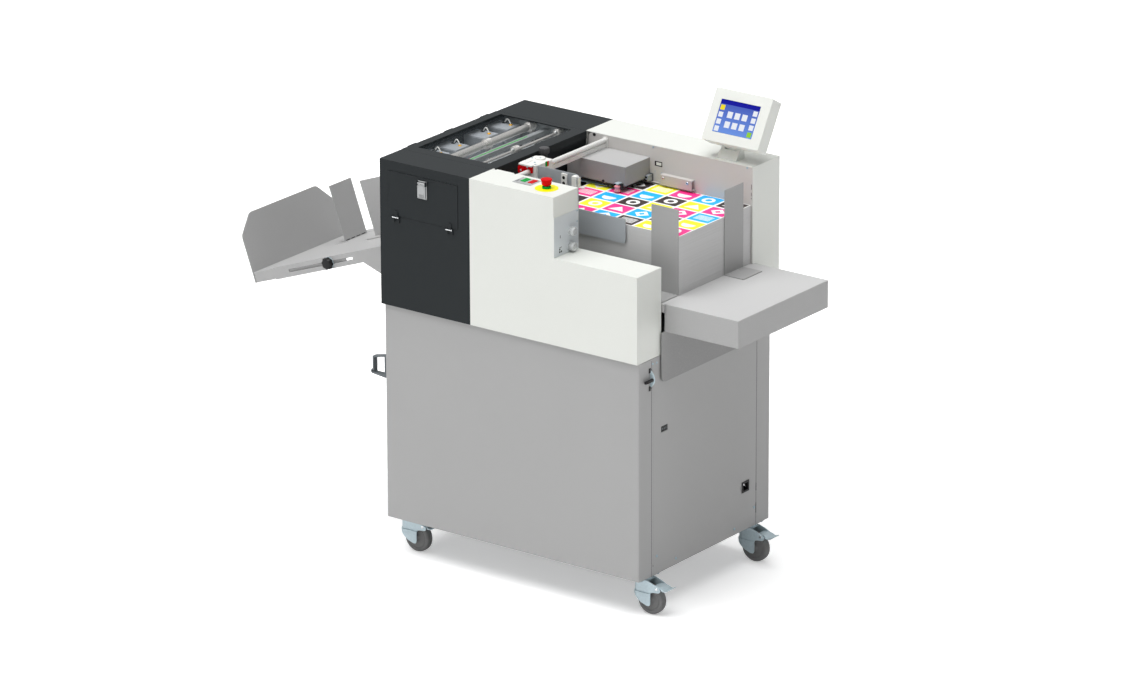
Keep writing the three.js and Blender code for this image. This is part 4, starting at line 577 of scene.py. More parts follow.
# Each lift sets how bright the painted edge highlight is.
BLACK = moulded("black_plastic", "black_plastic", colour(30, 30, 31), 0.42, lift=2.2)
RUBBER = moulded("wheel_rubber", "wheel_rubber", colour(118), 0.62, 1.4, 0.05, 1.15, 0.08)
KNOB = moulded("knob_plastic", "black_plastic", colour(66, 66, 68), 0.4, lift=1.7, gloss=0.4)
ROLLER = moulded("roller_rubber", "roller_rubber", colour(62, 65, 68), 0.6, 0.8)
PINK = moulded("suction_rubber", "roller_rubber", colour(226, 142, 150), 0.5, 0.9)
RED = moulded("red_plastic", "red_plastic", colour(208, 0, 8), **BRIGHT, gloss=0.08)
GREEN = moulded("green_plastic", "green_plastic", colour(0, 160, 62), **BRIGHT, gloss=0.08)
GREEN_LINE = moulded("green_strip", "green_plastic", colour(60, 205, 60), 0.5, 1.2, 0.01, 1.05, gloss=0.05)
YELLOW = moulded("yellow_disc", "red_plastic", colour(250, 240, 0), **BRIGHT)
GOLD = moulded("gold_plug", "bright_steel", colour(236, 176, 40), 0.3, 0.8, 0.01, 1.2, Metallic=0.5)
SILVER = moulded("silver_plastic", "silver_plastic", colour(206, 208, 208), 0.28, 0.8, 0.01, 1.1,
                 Metallic=0.45)
KEY_PLATE = moulded("key_plate_grey", "silver_plastic", colour(176, 178, 179), 0.4, 0.8, 0.01, 1.05,
                    Metallic=0.2)
WHITE_PLASTIC = moulded("white_plastic", "white_plastic", colour(232, 232, 228), 0.4, 1.0, 0.01, 1.05)
PALE = moulded("pale_blue_strip", "white_plastic", colour(196, 216, 232), 0.35, 1.0, 0.01, 1.05)
PANE = pane("clear_pane", "clear_pane")
ACTUATOR = moulded("actuator_coat", "painted_grey", colour(158, 163, 168), 0.45, 1.6, 0.02, 1.15)
LID_GREY = moulded("actuator_lid", "painted_grey", colour(168, 173, 178), 0.4)
print("mouldings:", sum(m.name.endswith("plastic") for m in bpy.data.materials))

# %% [markdown]
# The print on the sheets is a plain sampler: rectangles in four ink colours with white gaps, each with a
# simple white figure. The place on the sheet, divided by the pitch, gives the tile's number and the place
# inside the tile. The figures are small sums of that place: a ring, bars, a triangle, a half disc, a
# lozenge. The pile's sides show the edges of hundreds of sheets, as fine level lines of slightly different
# greys, all painted darker than the white top: painted shade.

# %% Printed paper
PILE = dict(x=(376.0, 826.0), y=(187.0, 507.0), z=(836.8, 996.0))
TILE = dict(x=75.0, y=64.0, gap=7.0)
INKS = [colour(0, 178, 250), colour(252, 48, 142), colour(255, 250, 40), colour(48, 36, 35)]


def printed_paper():
    """White paper whose top carries the sampler, and whose sides carry level lines over a painted shade of
    grey.
    """
    f = Finish("printed_paper", "paper")
    half_wide, half_high = (TILE["x"] - TILE["gap"]) / 2, (TILE["y"] - TILE["gap"]) / 2
    across = (f.x - (PILE["x"][0] + TILE["gap"] / 2)) / TILE["x"]
    up = (f.y - (PILE["y"][0] + TILE["gap"] / 2)) / TILE["y"]
    column, row = across.floor(), up.floor()
    p, q = across.part() * TILE["x"] - half_wide, up.part() * TILE["y"] - half_high
    tile = (abs(p) < half_wide) * (abs(q) < half_high)
    far = p * p + q * q
    ring = f.inside(far, 80, 340)
    bars = (abs(p) < 24) * (abs(q) < 17) * ((q / 7).part() < 0.5)
    triangle = (abs(p) < (17 - q) * 0.75) * (q > -15)
    half_disc = (far < 420) * (q < 3)
    lozenge = (abs(p) + abs(q) < 22) * (abs(p) + abs(q) > 9)
    kind = ((column * 2 + row * 3) / 5).part() * 5
    figure = kind * 0
    for number, shape in enumerate([ring, bars, triangle, half_disc, lozenge]):
        figure = figure + (abs(kind - number) < 0.5) * shape
    ink_number = ((column * 3 + row + (row / 2).floor() + 2) / 4).part() * 4
    ink = INKS[0]
    for number, other in enumerate(INKS[1:]):
        ink = f.blend(ink_number > number + 0.5, ink, other)
    fibre = f.noise(1.5, 3)
    white = f.blend(fibre, colour(243, 243, 242), colour(250))
    facing = f.node("ShaderNodeTexCoord", out="Normal")
    top_face = f.node("ShaderNodeSeparateXYZ", {}, [facing], out="Z") > 0.5
    on_top = f.blend(tile * (1 - figure), white, ink)
    line = f.noise(0.7, 2, (300, 300, 1), seed=2.0)
    bundle = f.noise(6, 2, (60, 60, 1), seed=5.0)
    # Painted shade: the sides are grey, well below the paper's white, with the sheet edges' fine lines over
    # it.
    edge = f.blend(line * 0.5 + bundle * 0.5, colour(188), colour(204))
    return f.done(f.blend(top_face, edge, on_top), fibre * 0.1 + 0.5, bump=line, depth=0.03, rounding=0)


PAPER = printed_paper()
print("tiles:", [round((PILE[k][1] - PILE[k][0]) / TILE[k], 2) for k in "xy"], "across and along")

# %% [markdown]
# The display is lit from behind, so its colours go to the emission. It shows a made-up page of equal
# pitches: a dark bar over a blue field, four keys down each side and a block of three by two keys between
# them. Its places follow the tilted case.

# %% Display
CASE = dict(x=670.0, y=500.0, z=1150.0, tilt=math.radians(30))
SCREEN = dict(corner=26, wide=124, high=89)
PAGE = dict(bar=0.86, rows=4, columns=3, left=0.22, right=0.78, low=0.12, high=0.72)
KEY, BLUE = colour(240, 243, 250), colour(12, 14, 158)
GREEN_KEY, YELLOW_KEY = colour(150, 210, 60), colour(250, 226, 40)


def on_case(across, deep, up):
    """A place on the tilted case: across to the right, deep into the case, up along its face."""
    cosine, sine = math.cos(CASE["tilt"]), math.sin(CASE["tilt"])
    return [CASE["x"] + across, CASE["y"] + deep * cosine + up * sine, CASE["z"] - deep * sine + up * cosine]


def display():
    """Emission = page, worked out from the shares u across and v up; the glass over it is dark and glossy."""
    f = Finish("display", "black_plastic")
    u = (f.x - (CASE["x"] + SCREEN["corner"])) / SCREEN["wide"]
    v = ((f.z - CASE["z"]) / math.cos(CASE["tilt"]) - SCREEN["corner"]) / SCREEN["high"]
    inside = f.inside(u, 0.0, 1.0) * f.inside(v, 0.0, 1.0)
    page = f.blend(v, colour(112, 152, 232), colour(66, 84, 184))
    page = f.blend(f.inside(v, PAGE["bar"], 1.0), page, BLUE)
    row_height = PAGE["bar"] / PAGE["rows"]
    in_row = f.inside((v / row_height).part(), 0.14, 0.86) * f.inside(v, 0.0, PAGE["bar"])
    left_keys, right_keys = in_row * f.inside(u, 0.03, 0.14), in_row * f.inside(u, 0.86, 0.97)
    top_row, low_row = f.inside(v, PAGE["bar"] - row_height, PAGE["bar"]), f.inside(v, 0.0, row_height)
    for mask, shade in [(left_keys, KEY), (right_keys, KEY), (left_keys * top_row, YELLOW_KEY),
                        (right_keys * low_row, GREEN_KEY)]:
        page = f.blend(mask, page, shade)
    cell_u = ((u - PAGE["left"]) / ((PAGE["right"] - PAGE["left"]) / PAGE["columns"])).part()
    cell_v = ((v - PAGE["low"]) / ((PAGE["high"] - PAGE["low"]) / 2)).part()
    middle = f.inside(u, PAGE["left"], PAGE["right"]) * f.inside(v, PAGE["low"], PAGE["high"])
    page = f.blend(middle * f.inside(cell_u, 0.15, 0.85) * f.inside(cell_v, 0.18, 0.82), page, KEY)
    grain = f.noise(0.6, 1)
    glow = f.blend(inside, colour(10, 12, 20), f.blend(grain * 0.12, page, colour(20, 20, 60)))
    return f.done(colour(8, 10, 16), grain * 0.04 + 0.1, bump=grain, depth=0.002, rounding=0,
                  Specular_IOR_Level=0.12, Emission_Color=glow, Emission_Strength=1.0)


DISPLAY = display()
print("display corner:", [round(v, 1) for v in on_case(SCREEN["corner"], 0, SCREEN["corner"])])

# %% [markdown]
# ## Solids that keep their shape
# Most covers are already right, so they stay and are only painted. A cover's own edges are sharp in the
# solids, and the finish rounds them in its shading.

# %% Painting the solids
for finish, nodes in [
        (GREY, "cabinet_front_cover cabinet_rear_cover cabinet_side_right cabinet_side_left"),
        (FRAME, "cabinet_frame"), (BOW, "docking_bow"), (BLACK, "mains_inlet"),
        (DARK, "dark_front_cover dark_rear_cover lid_frame hatch_door"), (PANE, "lid_window"),
        (DECK_STEEL, "sheet_deck"), (TOOL_STEEL, "crease_beam"),
        (ROLLER, "infeed_roller_upper infeed_roller_lower"), (WHITE, "operator_cover rear_housing"),
        (BEIGE, "feeder_back_plate"), (TABLE_WHITE, "feed_table"), (GUIDE, "near_guide tail_guide"),
        (FEED_GREY, "feed_head"), (ROD, "guide_bar"), (WHITE_PLASTIC, "guide_carriage"),
        (RED, "clamp_lever"), (ARM_STEEL, "side_guide"),
        (TRAY_GREY, "tray_channel tray_extension tray_stop tray_guide")]:
    for node in nodes.split():
        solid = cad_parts[node]
        if not solid.material_slots:
            solid.data.materials.append(finish)
        for holder in solid.material_slots:
            holder.link = "OBJECT"
            holder.material = finish
print("dressed:", sum(bool(o.material_slots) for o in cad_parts.values()), "solids")

# %% [markdown]
# ## Castors
# A castor's fork is pressed from one flat blank: two legs are bent down on either side of the wheel, and the
# front stays closed and round. So the surface is worked out on the blank. One parameter is the height. The
# other runs along the sheet, from the middle of the round front to the leg's edge, and both edges of the
# blank are curves over the height. Bending maps the first stretch to a quarter of an ellipse and the rest
# to the flat cheek.
#
# Known fault: at the tip of each leg, 26.4 mm up, both edge curves give 62. That row has no length, so its
# inner points aren't numbers and end up at the frame's origin. To mend it, the row needs a length.

# %% Castor fork
CASTORS = {"front_left": (35.5, 66.0), "front_right": (800.5, 66.0),
           "rear_right": (800.5, 534.0), "rear_left": (35.5, 534.0)}
WHEEL_AT, PEDAL_AT = np.array([29.5, 0.0, 40.0]), np.array([57.0, 0.0, 78.0])
BEND, CHEEK = 30.0, 20.0
LEG_HEIGHT = [26.4, 27.5, 30, 33.3, 40, 46, 52, 57, 60, 61.5]
LEG_FRONT = [62, 57.5, 51, 41, 31, 24, 17, 10, 5, 0]
EDGE_HEIGHT = [26.4, 27.5, 31, 40, 62.5, 65, 66.8, 68.2, 70, 73, 77, 80, 86, 90, 94.5, 95.7]
EDGE_OUT = [62, 66.5, 69.8, 70.4, 70.4, 72.5, 80, 93, 98, 100, 100, 98, 86.5, 77, 63, 60]


def bent(along, height, side):
    """Blank to space: an ellipse's quarter up to the bend's length, then straight on along the cheek."""
    turn = np.clip(along / BEND, 0, 1) * math.pi / 2
    x = -2.0 - 18.0 * np.cos(turn) + np.maximum(along - BEND, 0)
    return np.stack([x, side * CHEEK * np.sin(turn), np.broadcast_to(height, along.shape)], -1)


def fork_shells():
    """The legs below the arch, the closed front above it, the crown, the race, the axle and the pins."""
    arch = LEG_HEIGHT[-1]
    share = np.linspace(0, 1, 26)[None, :]
    low = np.concatenate([np.linspace(26.4, 30, 5), np.linspace(33.3, arch, 12)])[:, None]
    start = np.interp(low, LEG_HEIGHT, LEG_FRONT)
    end = np.interp(low, EDGE_HEIGHT, EDGE_OUT)
    shells = [folded(bent(start + share * (end - start), low, side), 2.4 * -side) for side in (-1, 1)]
    high = np.unique(np.concatenate([np.linspace(arch, 95.7, 16), EDGE_HEIGHT[4:]]))[:, None]
    end = np.interp(high, EDGE_HEIGHT, EDGE_OUT)
    both = [bent(end * share[:, ::-1], high, -1), bent(end * share[:, 1:], high, 1)]
    shells.append(folded(np.concatenate(both, 1), 2.4))
    turn = np.linspace(-math.pi / 2, math.pi / 2, 21)
    front = np.stack([-2 - 17 * np.cos(turn), 19 * np.sin(turn)], -1)
    shells.append(plate("z", np.vstack([front, [[27, 19], [27, -19]]]), [93.4, 95.9]))
    race = eased([[0, 94], [18, 94], [25, 95.2], [26, 96.4], [26, 99.7], [0, 99.7]], 1.0)
    shells.append(turned("z", [0, 0, 0], race))
    shells.append(turned("y", WHEEL_AT, rect(0, -20, 4, 20), 24))
    for side in (-1, 1):
        head = np.array([[0, 20], [6.2, 20], [6.2, 21], [5.4, 22], [0, 22]]) * [1, side]
        shells.append(turned("y", WHEEL_AT, head, 6 if side > 0 else 24))
        pin = np.array([[0, 12], [2.5, 12], [2.5, 20], [3.6, 20], [3.2, 21], [0, 21.3]]) * [1, side]
        shells.append((*turned("y", PEDAL_AT, pin, 18), 1))
    return shells


print("fork shells:", len(fork_shells()))

# %% [markdown]
# The wheel is a turned profile: a hub wider than the tread, a shallow web, one fine ring line where the tyre
# is moulded on, and rounded shoulders. The brake pedal is one more piece of folded sheet, with its edges
# turned down beside the wheel and a broad tongue for the foot.

# %% Castor wheel and pedal
def wheel_shells():
    """Half a profile from hub to tread, its corners eased, and the same again mirrored."""
    side = [[8.4, 17.2], [9.6, 16.6], [13, 11.2], [16, 10.6], [27.2, 10.8], [27.8, 9.8], [28.6, 9.8],
            [29.2, 11], [34, 11.8], [37.5, 10.6], [39.4, 7.5], [40, 3.5]]
    half = eased([[4.3, 17.2], *side, [40, 0]], 0.8)[:-1]
    return [turned("y", WHEEL_AT, np.vstack([half, (half * [1, -1])[::-1], half[:1]]), 72)]


def pedal_shells():
    """A side profile swept across: each column has its share of the half width and hangs by its own drop."""
    side = eased([[45, 83.6], [56, 85.4], [67, 84.6], [74.6, 79], [80, 77.4], [87, 79], [91, 81.4],
                  [94, 84.4]], 4, 4)
    half = np.interp(side[:, 0], [45, 67, 72, 88, 92, 94], [16, 16, 19.6, 19.6, 18, 12])[:, None]
    drop = np.interp(side[:, 0], [45, 68, 78, 94], [5.5, 5.5, 2.6, 1.2])[:, None]
    share = np.array([[-1, -1, -0.96, -0.88, -0.4, 0, 0.4, 0.88, 0.96, 1, 1]])
    hang = np.array([[1, 0.25, 0.05, 0, 0, 0, 0, 0, 0.05, 0.25, 1]])
    along = np.broadcast_to(side[:, :1], (len(side), share.size))
    points = np.stack([along, half * share, side[:, 1:] - drop * hang], -1)
    hub = closed([[2.8, -16.8], [5.2, -16.8], [6, -16], [6, 16], [5.2, 16.8], [2.8, 16.8]])
    return [folded(points, 2.0), turned("y", PEDAL_AT, hub, 24)]


for corner, place in CASTORS.items():
    for kind, shells, finish in [("fork", fork_shells(), [ZINC, CHROME]), ("wheel", wheel_shells(), RUBBER),
                                 ("pedal", pedal_shells(), ZINC)]:
        node = f"castor_{kind}_{corner}"
        shells = [moved(shell, [*place, 0.0]) for shell in shells]
        make(f"{kind}_{corner}", node, shells, finish, stands_for=[node], smooth=40)
print("castors:", len(CASTORS), "sets of fork, wheel and pedal")

# %% [markdown]
# Bolts hold each castor's plate to the cabinet's floor. Screws hold the side covers: bluish zinc heads where
# the covers meet, as on most such machines. Thin black strips in the slots and seams beside them are painted
# shade.

# %% Cabinet screws and seams
RIGHT_FACE, LEFT_FACE, REAR_FACE = 830, 6, 593

bolts = [screw("-z", [px + dx, py + dy, 100.0], 5, 3.4)
         for px, py in CASTORS.values() for dx in (-20, 20) for dy in (-36, 36)]
make("castor_bolts", "base", bolts, SCREW)
right = [(85.1, 152.9), (170.3, 120.1), (433.3, 119.8), (523.0, 153.9), (66.0, 686.2), (83.3, 684.9)]
heads = [screw("+x", [RIGHT_FACE, y, z], 4.0 if z < 200 else 3.0) for y, z in right]
heads += [screw("-x", [LEFT_FACE, y, z], 3.6) for y, z in right[:4]]
heads += [screw("+y", [x, REAR_FACE, z], 3.6) for x in (30, 418, 806) for z in (125, 400, 675)]
make("cabinet_screws", "base", heads, SCREW)
# Painted shade: thin black blocks in the cover's slots and along the seams between covers.
slot_shade = [((829.6, 830.15), (530.4, 533.0), span) for span in [(199, 220), (136, 165)]]
slot_shade += [((829.6, 830.2), (68.4, 69.8), (128, 133))]
slot_shade += [((829.8, 830.12), (y, y + 1.1), (101, 695)) for y in (61.6, 531.0)]
fit("base", ("seam_and_slot_shade", BLACK, 0, slot_shade))
print("cabinet screws:", len(heads))

# %% [markdown]
# The counter sits in a shallow recess of the right panel: a black insert behind a small window, with three
# marks. The mains inlet is black with three bright contacts, and among them lies a turned point a fifth of
# a millimetre wide, too small to be seen. The latch is a zinc cam disc that shows as a crescent beside its
# slot, with a black lever for the thumb.

# %% Counter, inlet and latch
LATCH_AT, INLET_AT = [815, 0, 647], [0, 482, 225]
fit("base", ("counter_insert", BLACK, 0.8, [((824.3, 829.2), (104.4, 133.6), (487.4, 503.6))]),
    ("counter_marks", BOW, 0.1, [((829.1, 829.4), (y, y + 2.6), (493, 497.6)) for y in (110, 117.5, 125)]))
contacts = [block([816.4, 825.9], [482 + dy - 1.3, 482 + dy + 1.3], [225 + dz - 2.4, 225 + dz + 2.4])
            for dy, dz in [(-6, 0), (0, 4), (6, 0)]]
point = turned("x", INLET_AT, rect(0, 817.6, 0.1, 817.7), 6)
make("inlet_rim", "base", [point, *contacts], CHROME, bevel=0.3)
disc = closed(eased([[4.3, 56], [26, 56], [27, 57], [27, 61], [26, 62], [4.3, 62]], 0.8))
hub = closed(eased(rect(4.3, 55.2, 9, 62.8), 0.6))
make("latch_disc", "side_latch", [turned("y", LATCH_AT, disc, 72), turned("y", LATCH_AT, hub, 36)], ZINC,
     stands_for=["side_latch"])
side_view = [[834.2, 23.2], [839.5, 23.2], [842, 30], [841.6, 56], [840, 58.8], [834.2, 58.8]]
side_view = ring_eased(side_view, 2.0)
make("latch_lever", "side_latch", [plate("z", side_view, [643.4, 650.6])], BLACK, bevel=1.4, steps=3)
fit("base", ("latch_slot", BLACK, 0.5, [((829.8, 831.4), (49.5, 57), z) for z in [(616, 629), (665, 678)]]))
print("latch reaches", round(side_view[:, 0].max() - RIGHT_FACE, 1), "mm out of the cover")

# %% [markdown]
# ## Creasing unit
# The hatch is held by two bright hinges and a silver flap handle with a ribbed edge. The ribs are a row of
# narrow raised bars. The handle's base is a thin silver frame on the door.

# %% Hatch hinges and handle
HINGES = (44.0, 219.5)


def hinge_strip(start, end):
    """The spans of the bright rib along a stretch of the hinge's barrel."""
    return (start, end), (-7.1, -6.2), (948.1, 950.7)


fit("base", ("hatch_hinges_fixed", CHROME, 0.3,
             [hinge_strip(start + a, start + b) for start in HINGES for a, b in [(0, 4.9), (16.1, 21)]]))
fit("hatch",
    ("hatch_hinges_moving", CHROME, 0.3, [hinge_strip(start + 5.3, start + 15.7) for start in HINGES]),
    ("handle_frame", KEY_PLATE, 0.5, [(x, (-3.5, -2.6), z) for x, z in [
        ((125.8, 157.2), (1015.8, 1019)), ((125.8, 157.2), (1061.6, 1064.7)),
        ((125.8, 129), (1016, 1064.5)), ((154, 157.2), (1016, 1064.5))]]))
flap = ring_eased([[-5.8, 1058.5], [-5.8, 1023], [-6.8, 1018.4], [-4.2, 1018.4], [-4.2, 1058.5]], 0.6)
handle = [plate("x", flap, [129.5, 153.5]),
          turned("x", [0, -6, 1058.5], eased(rect(1.5, 129.5, 2.3, 153.5), 0.3), 24)]
ribs = [block([133, 150], [-7.2, -6.0], [z, z + 0.9]) for z in np.arange(1019.2, 1028, 1.9)]
handle += [*ribs, block([132.5, 150.5], [-6.3, -5.6], [1031, 1053])]
make("handle_flap", "hatch_handle", handle, KEY_PLATE, bevel=0.35, stands_for=["hatch_handle"])
print("handle ribs:", len(ribs))

# %% [markdown]
# Under the clear pane lie the tools. Each bar carries two ridged collars. On the operator's side of each
# collar a bright domed cap closes the clamping screw, and below it an arm reaches down to a perforating
# disc or to a small foot. All of it is turned work, so a profile with eased corners gives it its edges.

# %% Tool bars
HEADS = (312.0, 500.0)
BAR_UP, DISC_UP = 1080, 1027.3


def ridged(along, at, radius, length, count=4):
    """A collar with count ridges: the profile steps up and down along the axis."""
    start, pitch = at - length / 2, length / count
    line = [[0, start], [radius - 1.3, start]]
    for i in range(count):
        a = start + i * pitch
        line += [[radius - 1.3, a + 0.25 * pitch], [radius, a + 0.35 * pitch],
                 [radius, a + 0.75 * pitch], [radius - 1.3, a + 0.85 * pitch]]
    line += [[radius - 1.3, start + length], [0, start + length]]
    return turned("y", [along, 0, BAR_UP], eased(line, 0.4, 2), 64)


def cap(along, at, radius, length, lift):
    """A dome: the radius is a sine and the place along the axis a cosine of the same angle."""
    angle = np.linspace(0, math.pi / 2, 12)
    dome = np.stack([radius * np.sin(angle), at - length * np.cos(angle)], -1)
    return turned("y", [along, 0, BAR_UP + lift], np.vstack([dome, [[radius, at + 2], [0, at + 2]]]), 40)


def rod(along, radius, ends, up=BAR_UP):
    """A rod with chamfered ends."""
    line = [[0, ends[0]], [radius - 0.5, ends[0]], [radius, ends[0] + 0.5], [radius, ends[1] - 0.5],
            [radius - 0.5, ends[1]], [0, ends[1]]]
    return turned("y", [along, 0, up], line, 48)


bars, slim = [rod(114, 10, (95, 521.7)), rod(114, 5, (88.2, 528.6))], [rod(208, 4, (88.2, 528.6))]
for at in HEADS:
    bars += [ridged(114, at, 13.4, 26), block([107.2, 120.8], [at + 6.2, at + 12.8], [1021.6, 1080]),
             rod(114, 2, (at - 10.6, at + 11), DISC_UP)]
    slim += [ridged(208, at, 12, 22, 3), block([203.2, 212.8], [at + 6.2, at + 10.8], [1010, 1080]),
             block([198, 218], [at, at + 11], [1009, 1012])]
domes = [cap(114, at - 13, 6, 9, 3.7) for at in HEADS]
slim_domes = [cap(208, at - 11, 5, 7, 3.5) for at in HEADS]
for name, body, shells, caps in [("tool_bar", "perforating_bar", bars, domes),
                                 ("slim_bar", "hold_down_bar", slim, slim_domes)]:
    make(name, body, shells, TOOL_STEEL, stands_for=[body], smooth=30)
    make(f"{name}_caps", body, caps, SILVER)
for end, at in zip(("front", "rear"), HEADS):
    node = f"perforating_disc_{end}"
    y = at - 7.3
    blade = closed([[2.3, y - 0.8, 0], [19.2, y - 0.8, 1], [20, y, 1], [19.2, y + 0.8, 1], [2.3, y + 0.8, 0]])
    centre = closed([[2.3, y - 3, 0], [5.6, y - 3, 0], [6, y - 2.6, 0], [6, y + 2.6, 0], [5.6, y + 3, 0],
                     [2.3, y + 3, 0]])
    make(f"toothed_disc_{end}", node, [turned("y", [114, 0, DISC_UP], blade, 240, 60, 0.9),
                                       turned("y", [114, 0, DISC_UP], centre, 40)], CHROME, stands_for=[node])
print("tool bars:", len(bars) + len(slim), "shells")

# %% [markdown]
# Four actuators stand on their rail beside the bars. Each has a soft-edged body, a lighter lid with two
# screws, a gold plug and a short white lead that bows over to its socket. A lead is a round section carried
# along half a sine wave.

# %% Actuators
ACTUATORS = (176.0, 258.0, 385.0, 480.0)
PLUG = eased([[0, 1073], [5, 1073], [5, 1076.4], [3.4, 1077.4], [3.4, 1078.6], [0, 1078.6]], 0.4)


def lead(at):
    """From plug to socket: x and y are straight in t, and z adds half a sine wave."""
    t = np.linspace(0, 1, 24)
    up = 1077 + 13.5 * np.sin(math.pi * t) - 3 * t
    return tube(np.stack([58 - 26 * t, at + 10 + 7 * t, up], -1), 1.7, 14)


bodies = [block([20, 60], [95, 521.6], [1027, 1039])]
bodies += [block([4, 75], [at - 30, at + 30], [1037, 1073]) for at in ACTUATORS]
make("actuator_bodies", "base", bodies, ACTUATOR, bevel=1.4, stands_for=["actuator_bar"])
lids = [((5, 74), (at - 29, at + 29), (1072, 1075)) for at in ACTUATORS]
fit("base", ("actuator_lids", LID_GREY, 0.8, lids))
make("actuator_plugs", "base", [turned("z", [58, at + 10, 0], PLUG, 32) for at in ACTUATORS], GOLD)
make("actuator_leads", "base", [lead(at) for at in ACTUATORS], WHITE_PLASTIC)
sockets = [((27, 36), (at + 12, at + 22), (1073, 1078)) for at in ACTUATORS]
fit("base", ("actuator_sockets", BLACK, 0.8, sockets))
pins = [screw("+z", [10, at + dy, 1075], 2.0, 1.0) for at in ACTUATORS for dy in (-24, 24)]
make("actuator_screws", "base", pins, SCREW)
fit("base", ("deck_strip", GREEN_LINE, 0.2, [((156.6, 159.4), (185, 429), (1078.05, 1078.7))]),
    ("stop_block", RED, 0.8, [((99, 106), (246, 258), (1040, 1052))]))
print("actuators:", len(ACTUATORS))

# %% [markdown]
# ## Operator's controls
# The keys sit in one silver plate with rounded corners. The emergency stop is a flared red mushroom on a
# green ring, over a flat yellow disc.

# %% Keys and emergency stop
KEYS = [("start", 420, GREEN), ("stop", 443.5, RED)]
STOP_AT = [503, 53, 0]
make("key_plate", "base", [plate("z", ring_eased(rect(398, 44, 458, 92), 4), [1100.02, 1100.45])], KEY_PLATE,
     bevel=0.15)
lines = [((401, 408), (y, y + 2.4), (1100.4, 1100.55)) for y in (54, 60, 66)]
lines += [((398.6, 457.4), (y, y + 0.7), (1100.4, 1100.55)) for y in (45, 90.6)]
lines += [((at - 2.2, at + 2.2), (75, 79), (1101.9, 1102.1)) for _, at, _ in KEYS]
fit("base", ("key_plate_lines", BLACK, 0, lines))
for name, at, finish in KEYS:
    shells = [block([at - 7.5, at + 7.5], [60.5, 88.5], [1094, 1102]),
              block([at - 9, at + 9], [59, 90], [1094, 1097.6])]
    make(f"{name}_cap", f"{name}_key", shells, finish, bevel=1.0, steps=3, stands_for=[f"{name}_key"])
disc = closed(eased([[11.4, 1100.02], [30.4, 1100.02], [31, 1100.7], [11.4, 1100.9]], 0.3))
ring = closed(eased([[6.5, 1106.05], [10.4, 1106.05], [10.4, 1100.5], [11.2, 1100.5], [11.2, 1106],
                     [10.7, 1106.6], [6.5, 1106.6]], 0.3))
head = [[0, 1088], [5.8, 1088], [5.8, 1116.4], [11.6, 1116.4], [11.6, 1110.6], [12.4, 1110.6],
        [12.7, 1113.5], [13.4, 1118.5], [14.8, 1122.8], [15, 1124.2], [13.6, 1125.9], [0, 1126]]
head = eased(head, 1.2, 4)
make("stop_disc", "base", [turned("z", STOP_AT, disc, 96)], YELLOW)
make("stop_ring", "base", [turned("z", STOP_AT, ring, 64)], GREEN)
make("stop_mushroom", "emergency_stop", [turned("z", STOP_AT, head, 72)], RED, stands_for=["emergency_stop"])
print("emergency stop is", round(2 * head[:, 0].max()), "mm across")

# %% [markdown]
# Below, on the step's upright face, a brushed steel panel carries the two air knobs. Their fine flutes are a
# cosine wave cut into the radius, so that fingers can turn them. The panel's marks are plain dashes.

# %% Air panel
edge = ring_eased(rect(0.6, 937, 104.4, 1044.4), 1.5)
make("air_panel", "base", [plate("x", edge, [565.5, 565.75])], PANEL_STEEL, bevel=0.1)
make("air_panel_screws", "base", [screw("+x", [565.7, 99.4, z], 2.2, 1.2) for z in (1039.5, 1011.1)], SCREW)
line = [[0, 551.8, 0], [3, 551.8, 0], [3, 565.8, 0], [11.4, 565.8, 0], [12, 566.6, 1], [12, 577.5, 1],
        [11.6, 578.6, 1], [10.2, 579.4, 0], [9.6, 580.6, 0], [0, 580.8, 0]]
for name, z in (("upper", 993.0), ("lower", 952.0)):
    shells = [turned("x", [0, 71, z], line, 180, 36, 0.7),
              block([580.5, 580.8], [70.5, 71.5], [z + 2, z + 9])]
    make(f"air_cap_{name}", f"air_knob_{name}", shells, SILVER, stands_for=[f"air_knob_{name}"])
marks = [(22, 27, 945, 950), (29, 34, 945, 950), (22, 27, 952, 957), (22, 34, 958.5, 960), (26, 28, 984, 992)]
fit("base", ("air_panel_marks", BLACK, 0,
             [((565.7, 565.85), (a, b), (low, high)) for a, b, low, high in marks]))
print("air panel marks:", len(marks))

# %% [markdown]
# ## Feeder
# The pile is one soft-edged block of several hundred sheets. No pile is perfectly jogged, so each bundle of
# sheets lies a little off the next. The outline is the same at every level, moved by a small seeded shift.
# The pile stands on the table and is pressed down as the table climbs, so that its top stays at feeding
# height: the same flattening that the frame's joint declares.

# %% Pile of sheets
def pile_shell(layers=72, corner=1.2, play=0.28):
    """Levels of one rounded outline, each shifted by its own random step of at most the play."""
    (x0, x1), (y0, y1) = PILE["x"], PILE["y"]
    inset = play + 0.05
    outline = ring_eased(rect(x0 + inset, y0 + inset, x1 - inset, y1 - inset), corner, 3)
    shift = np.random.default_rng(7).uniform(-play, play, (layers, 2)) * [1, 0.6]
    shift[-1] = shift[-2]
    count = len(outline)
    points = np.zeros((layers, count, 3))
    points[:, :, :2] = outline[None] + shift[:, None]
    points[:, :, 2] = np.linspace(*PILE["z"], layers)[:, None]
    vertices, faces = grid(points, wrap_v=True)
    last = np.arange(count) + (layers - 1) * count
    return vertices, faces + [np.arange(count).tolist(), last[::-1].tolist()]


# Painted shade: black discs fill the two holes in the table's skirt.
shaded_hole = rect(0, 1064.6, 2.4, 1064.98)
make("table_hole_shade", "table", [turned("x", [0, y, 814.5], shaded_hole, 18) for y in (153, 490)], BLACK)
pile = make("sheet_pile", "table", [pile_shell()], PAPER, smooth=50, stands_for=["paper_stack"])
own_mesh(pile)
print("pile:", [round(PILE[k][1] - PILE[k][0], 1) for k in "xyz"], "mm")

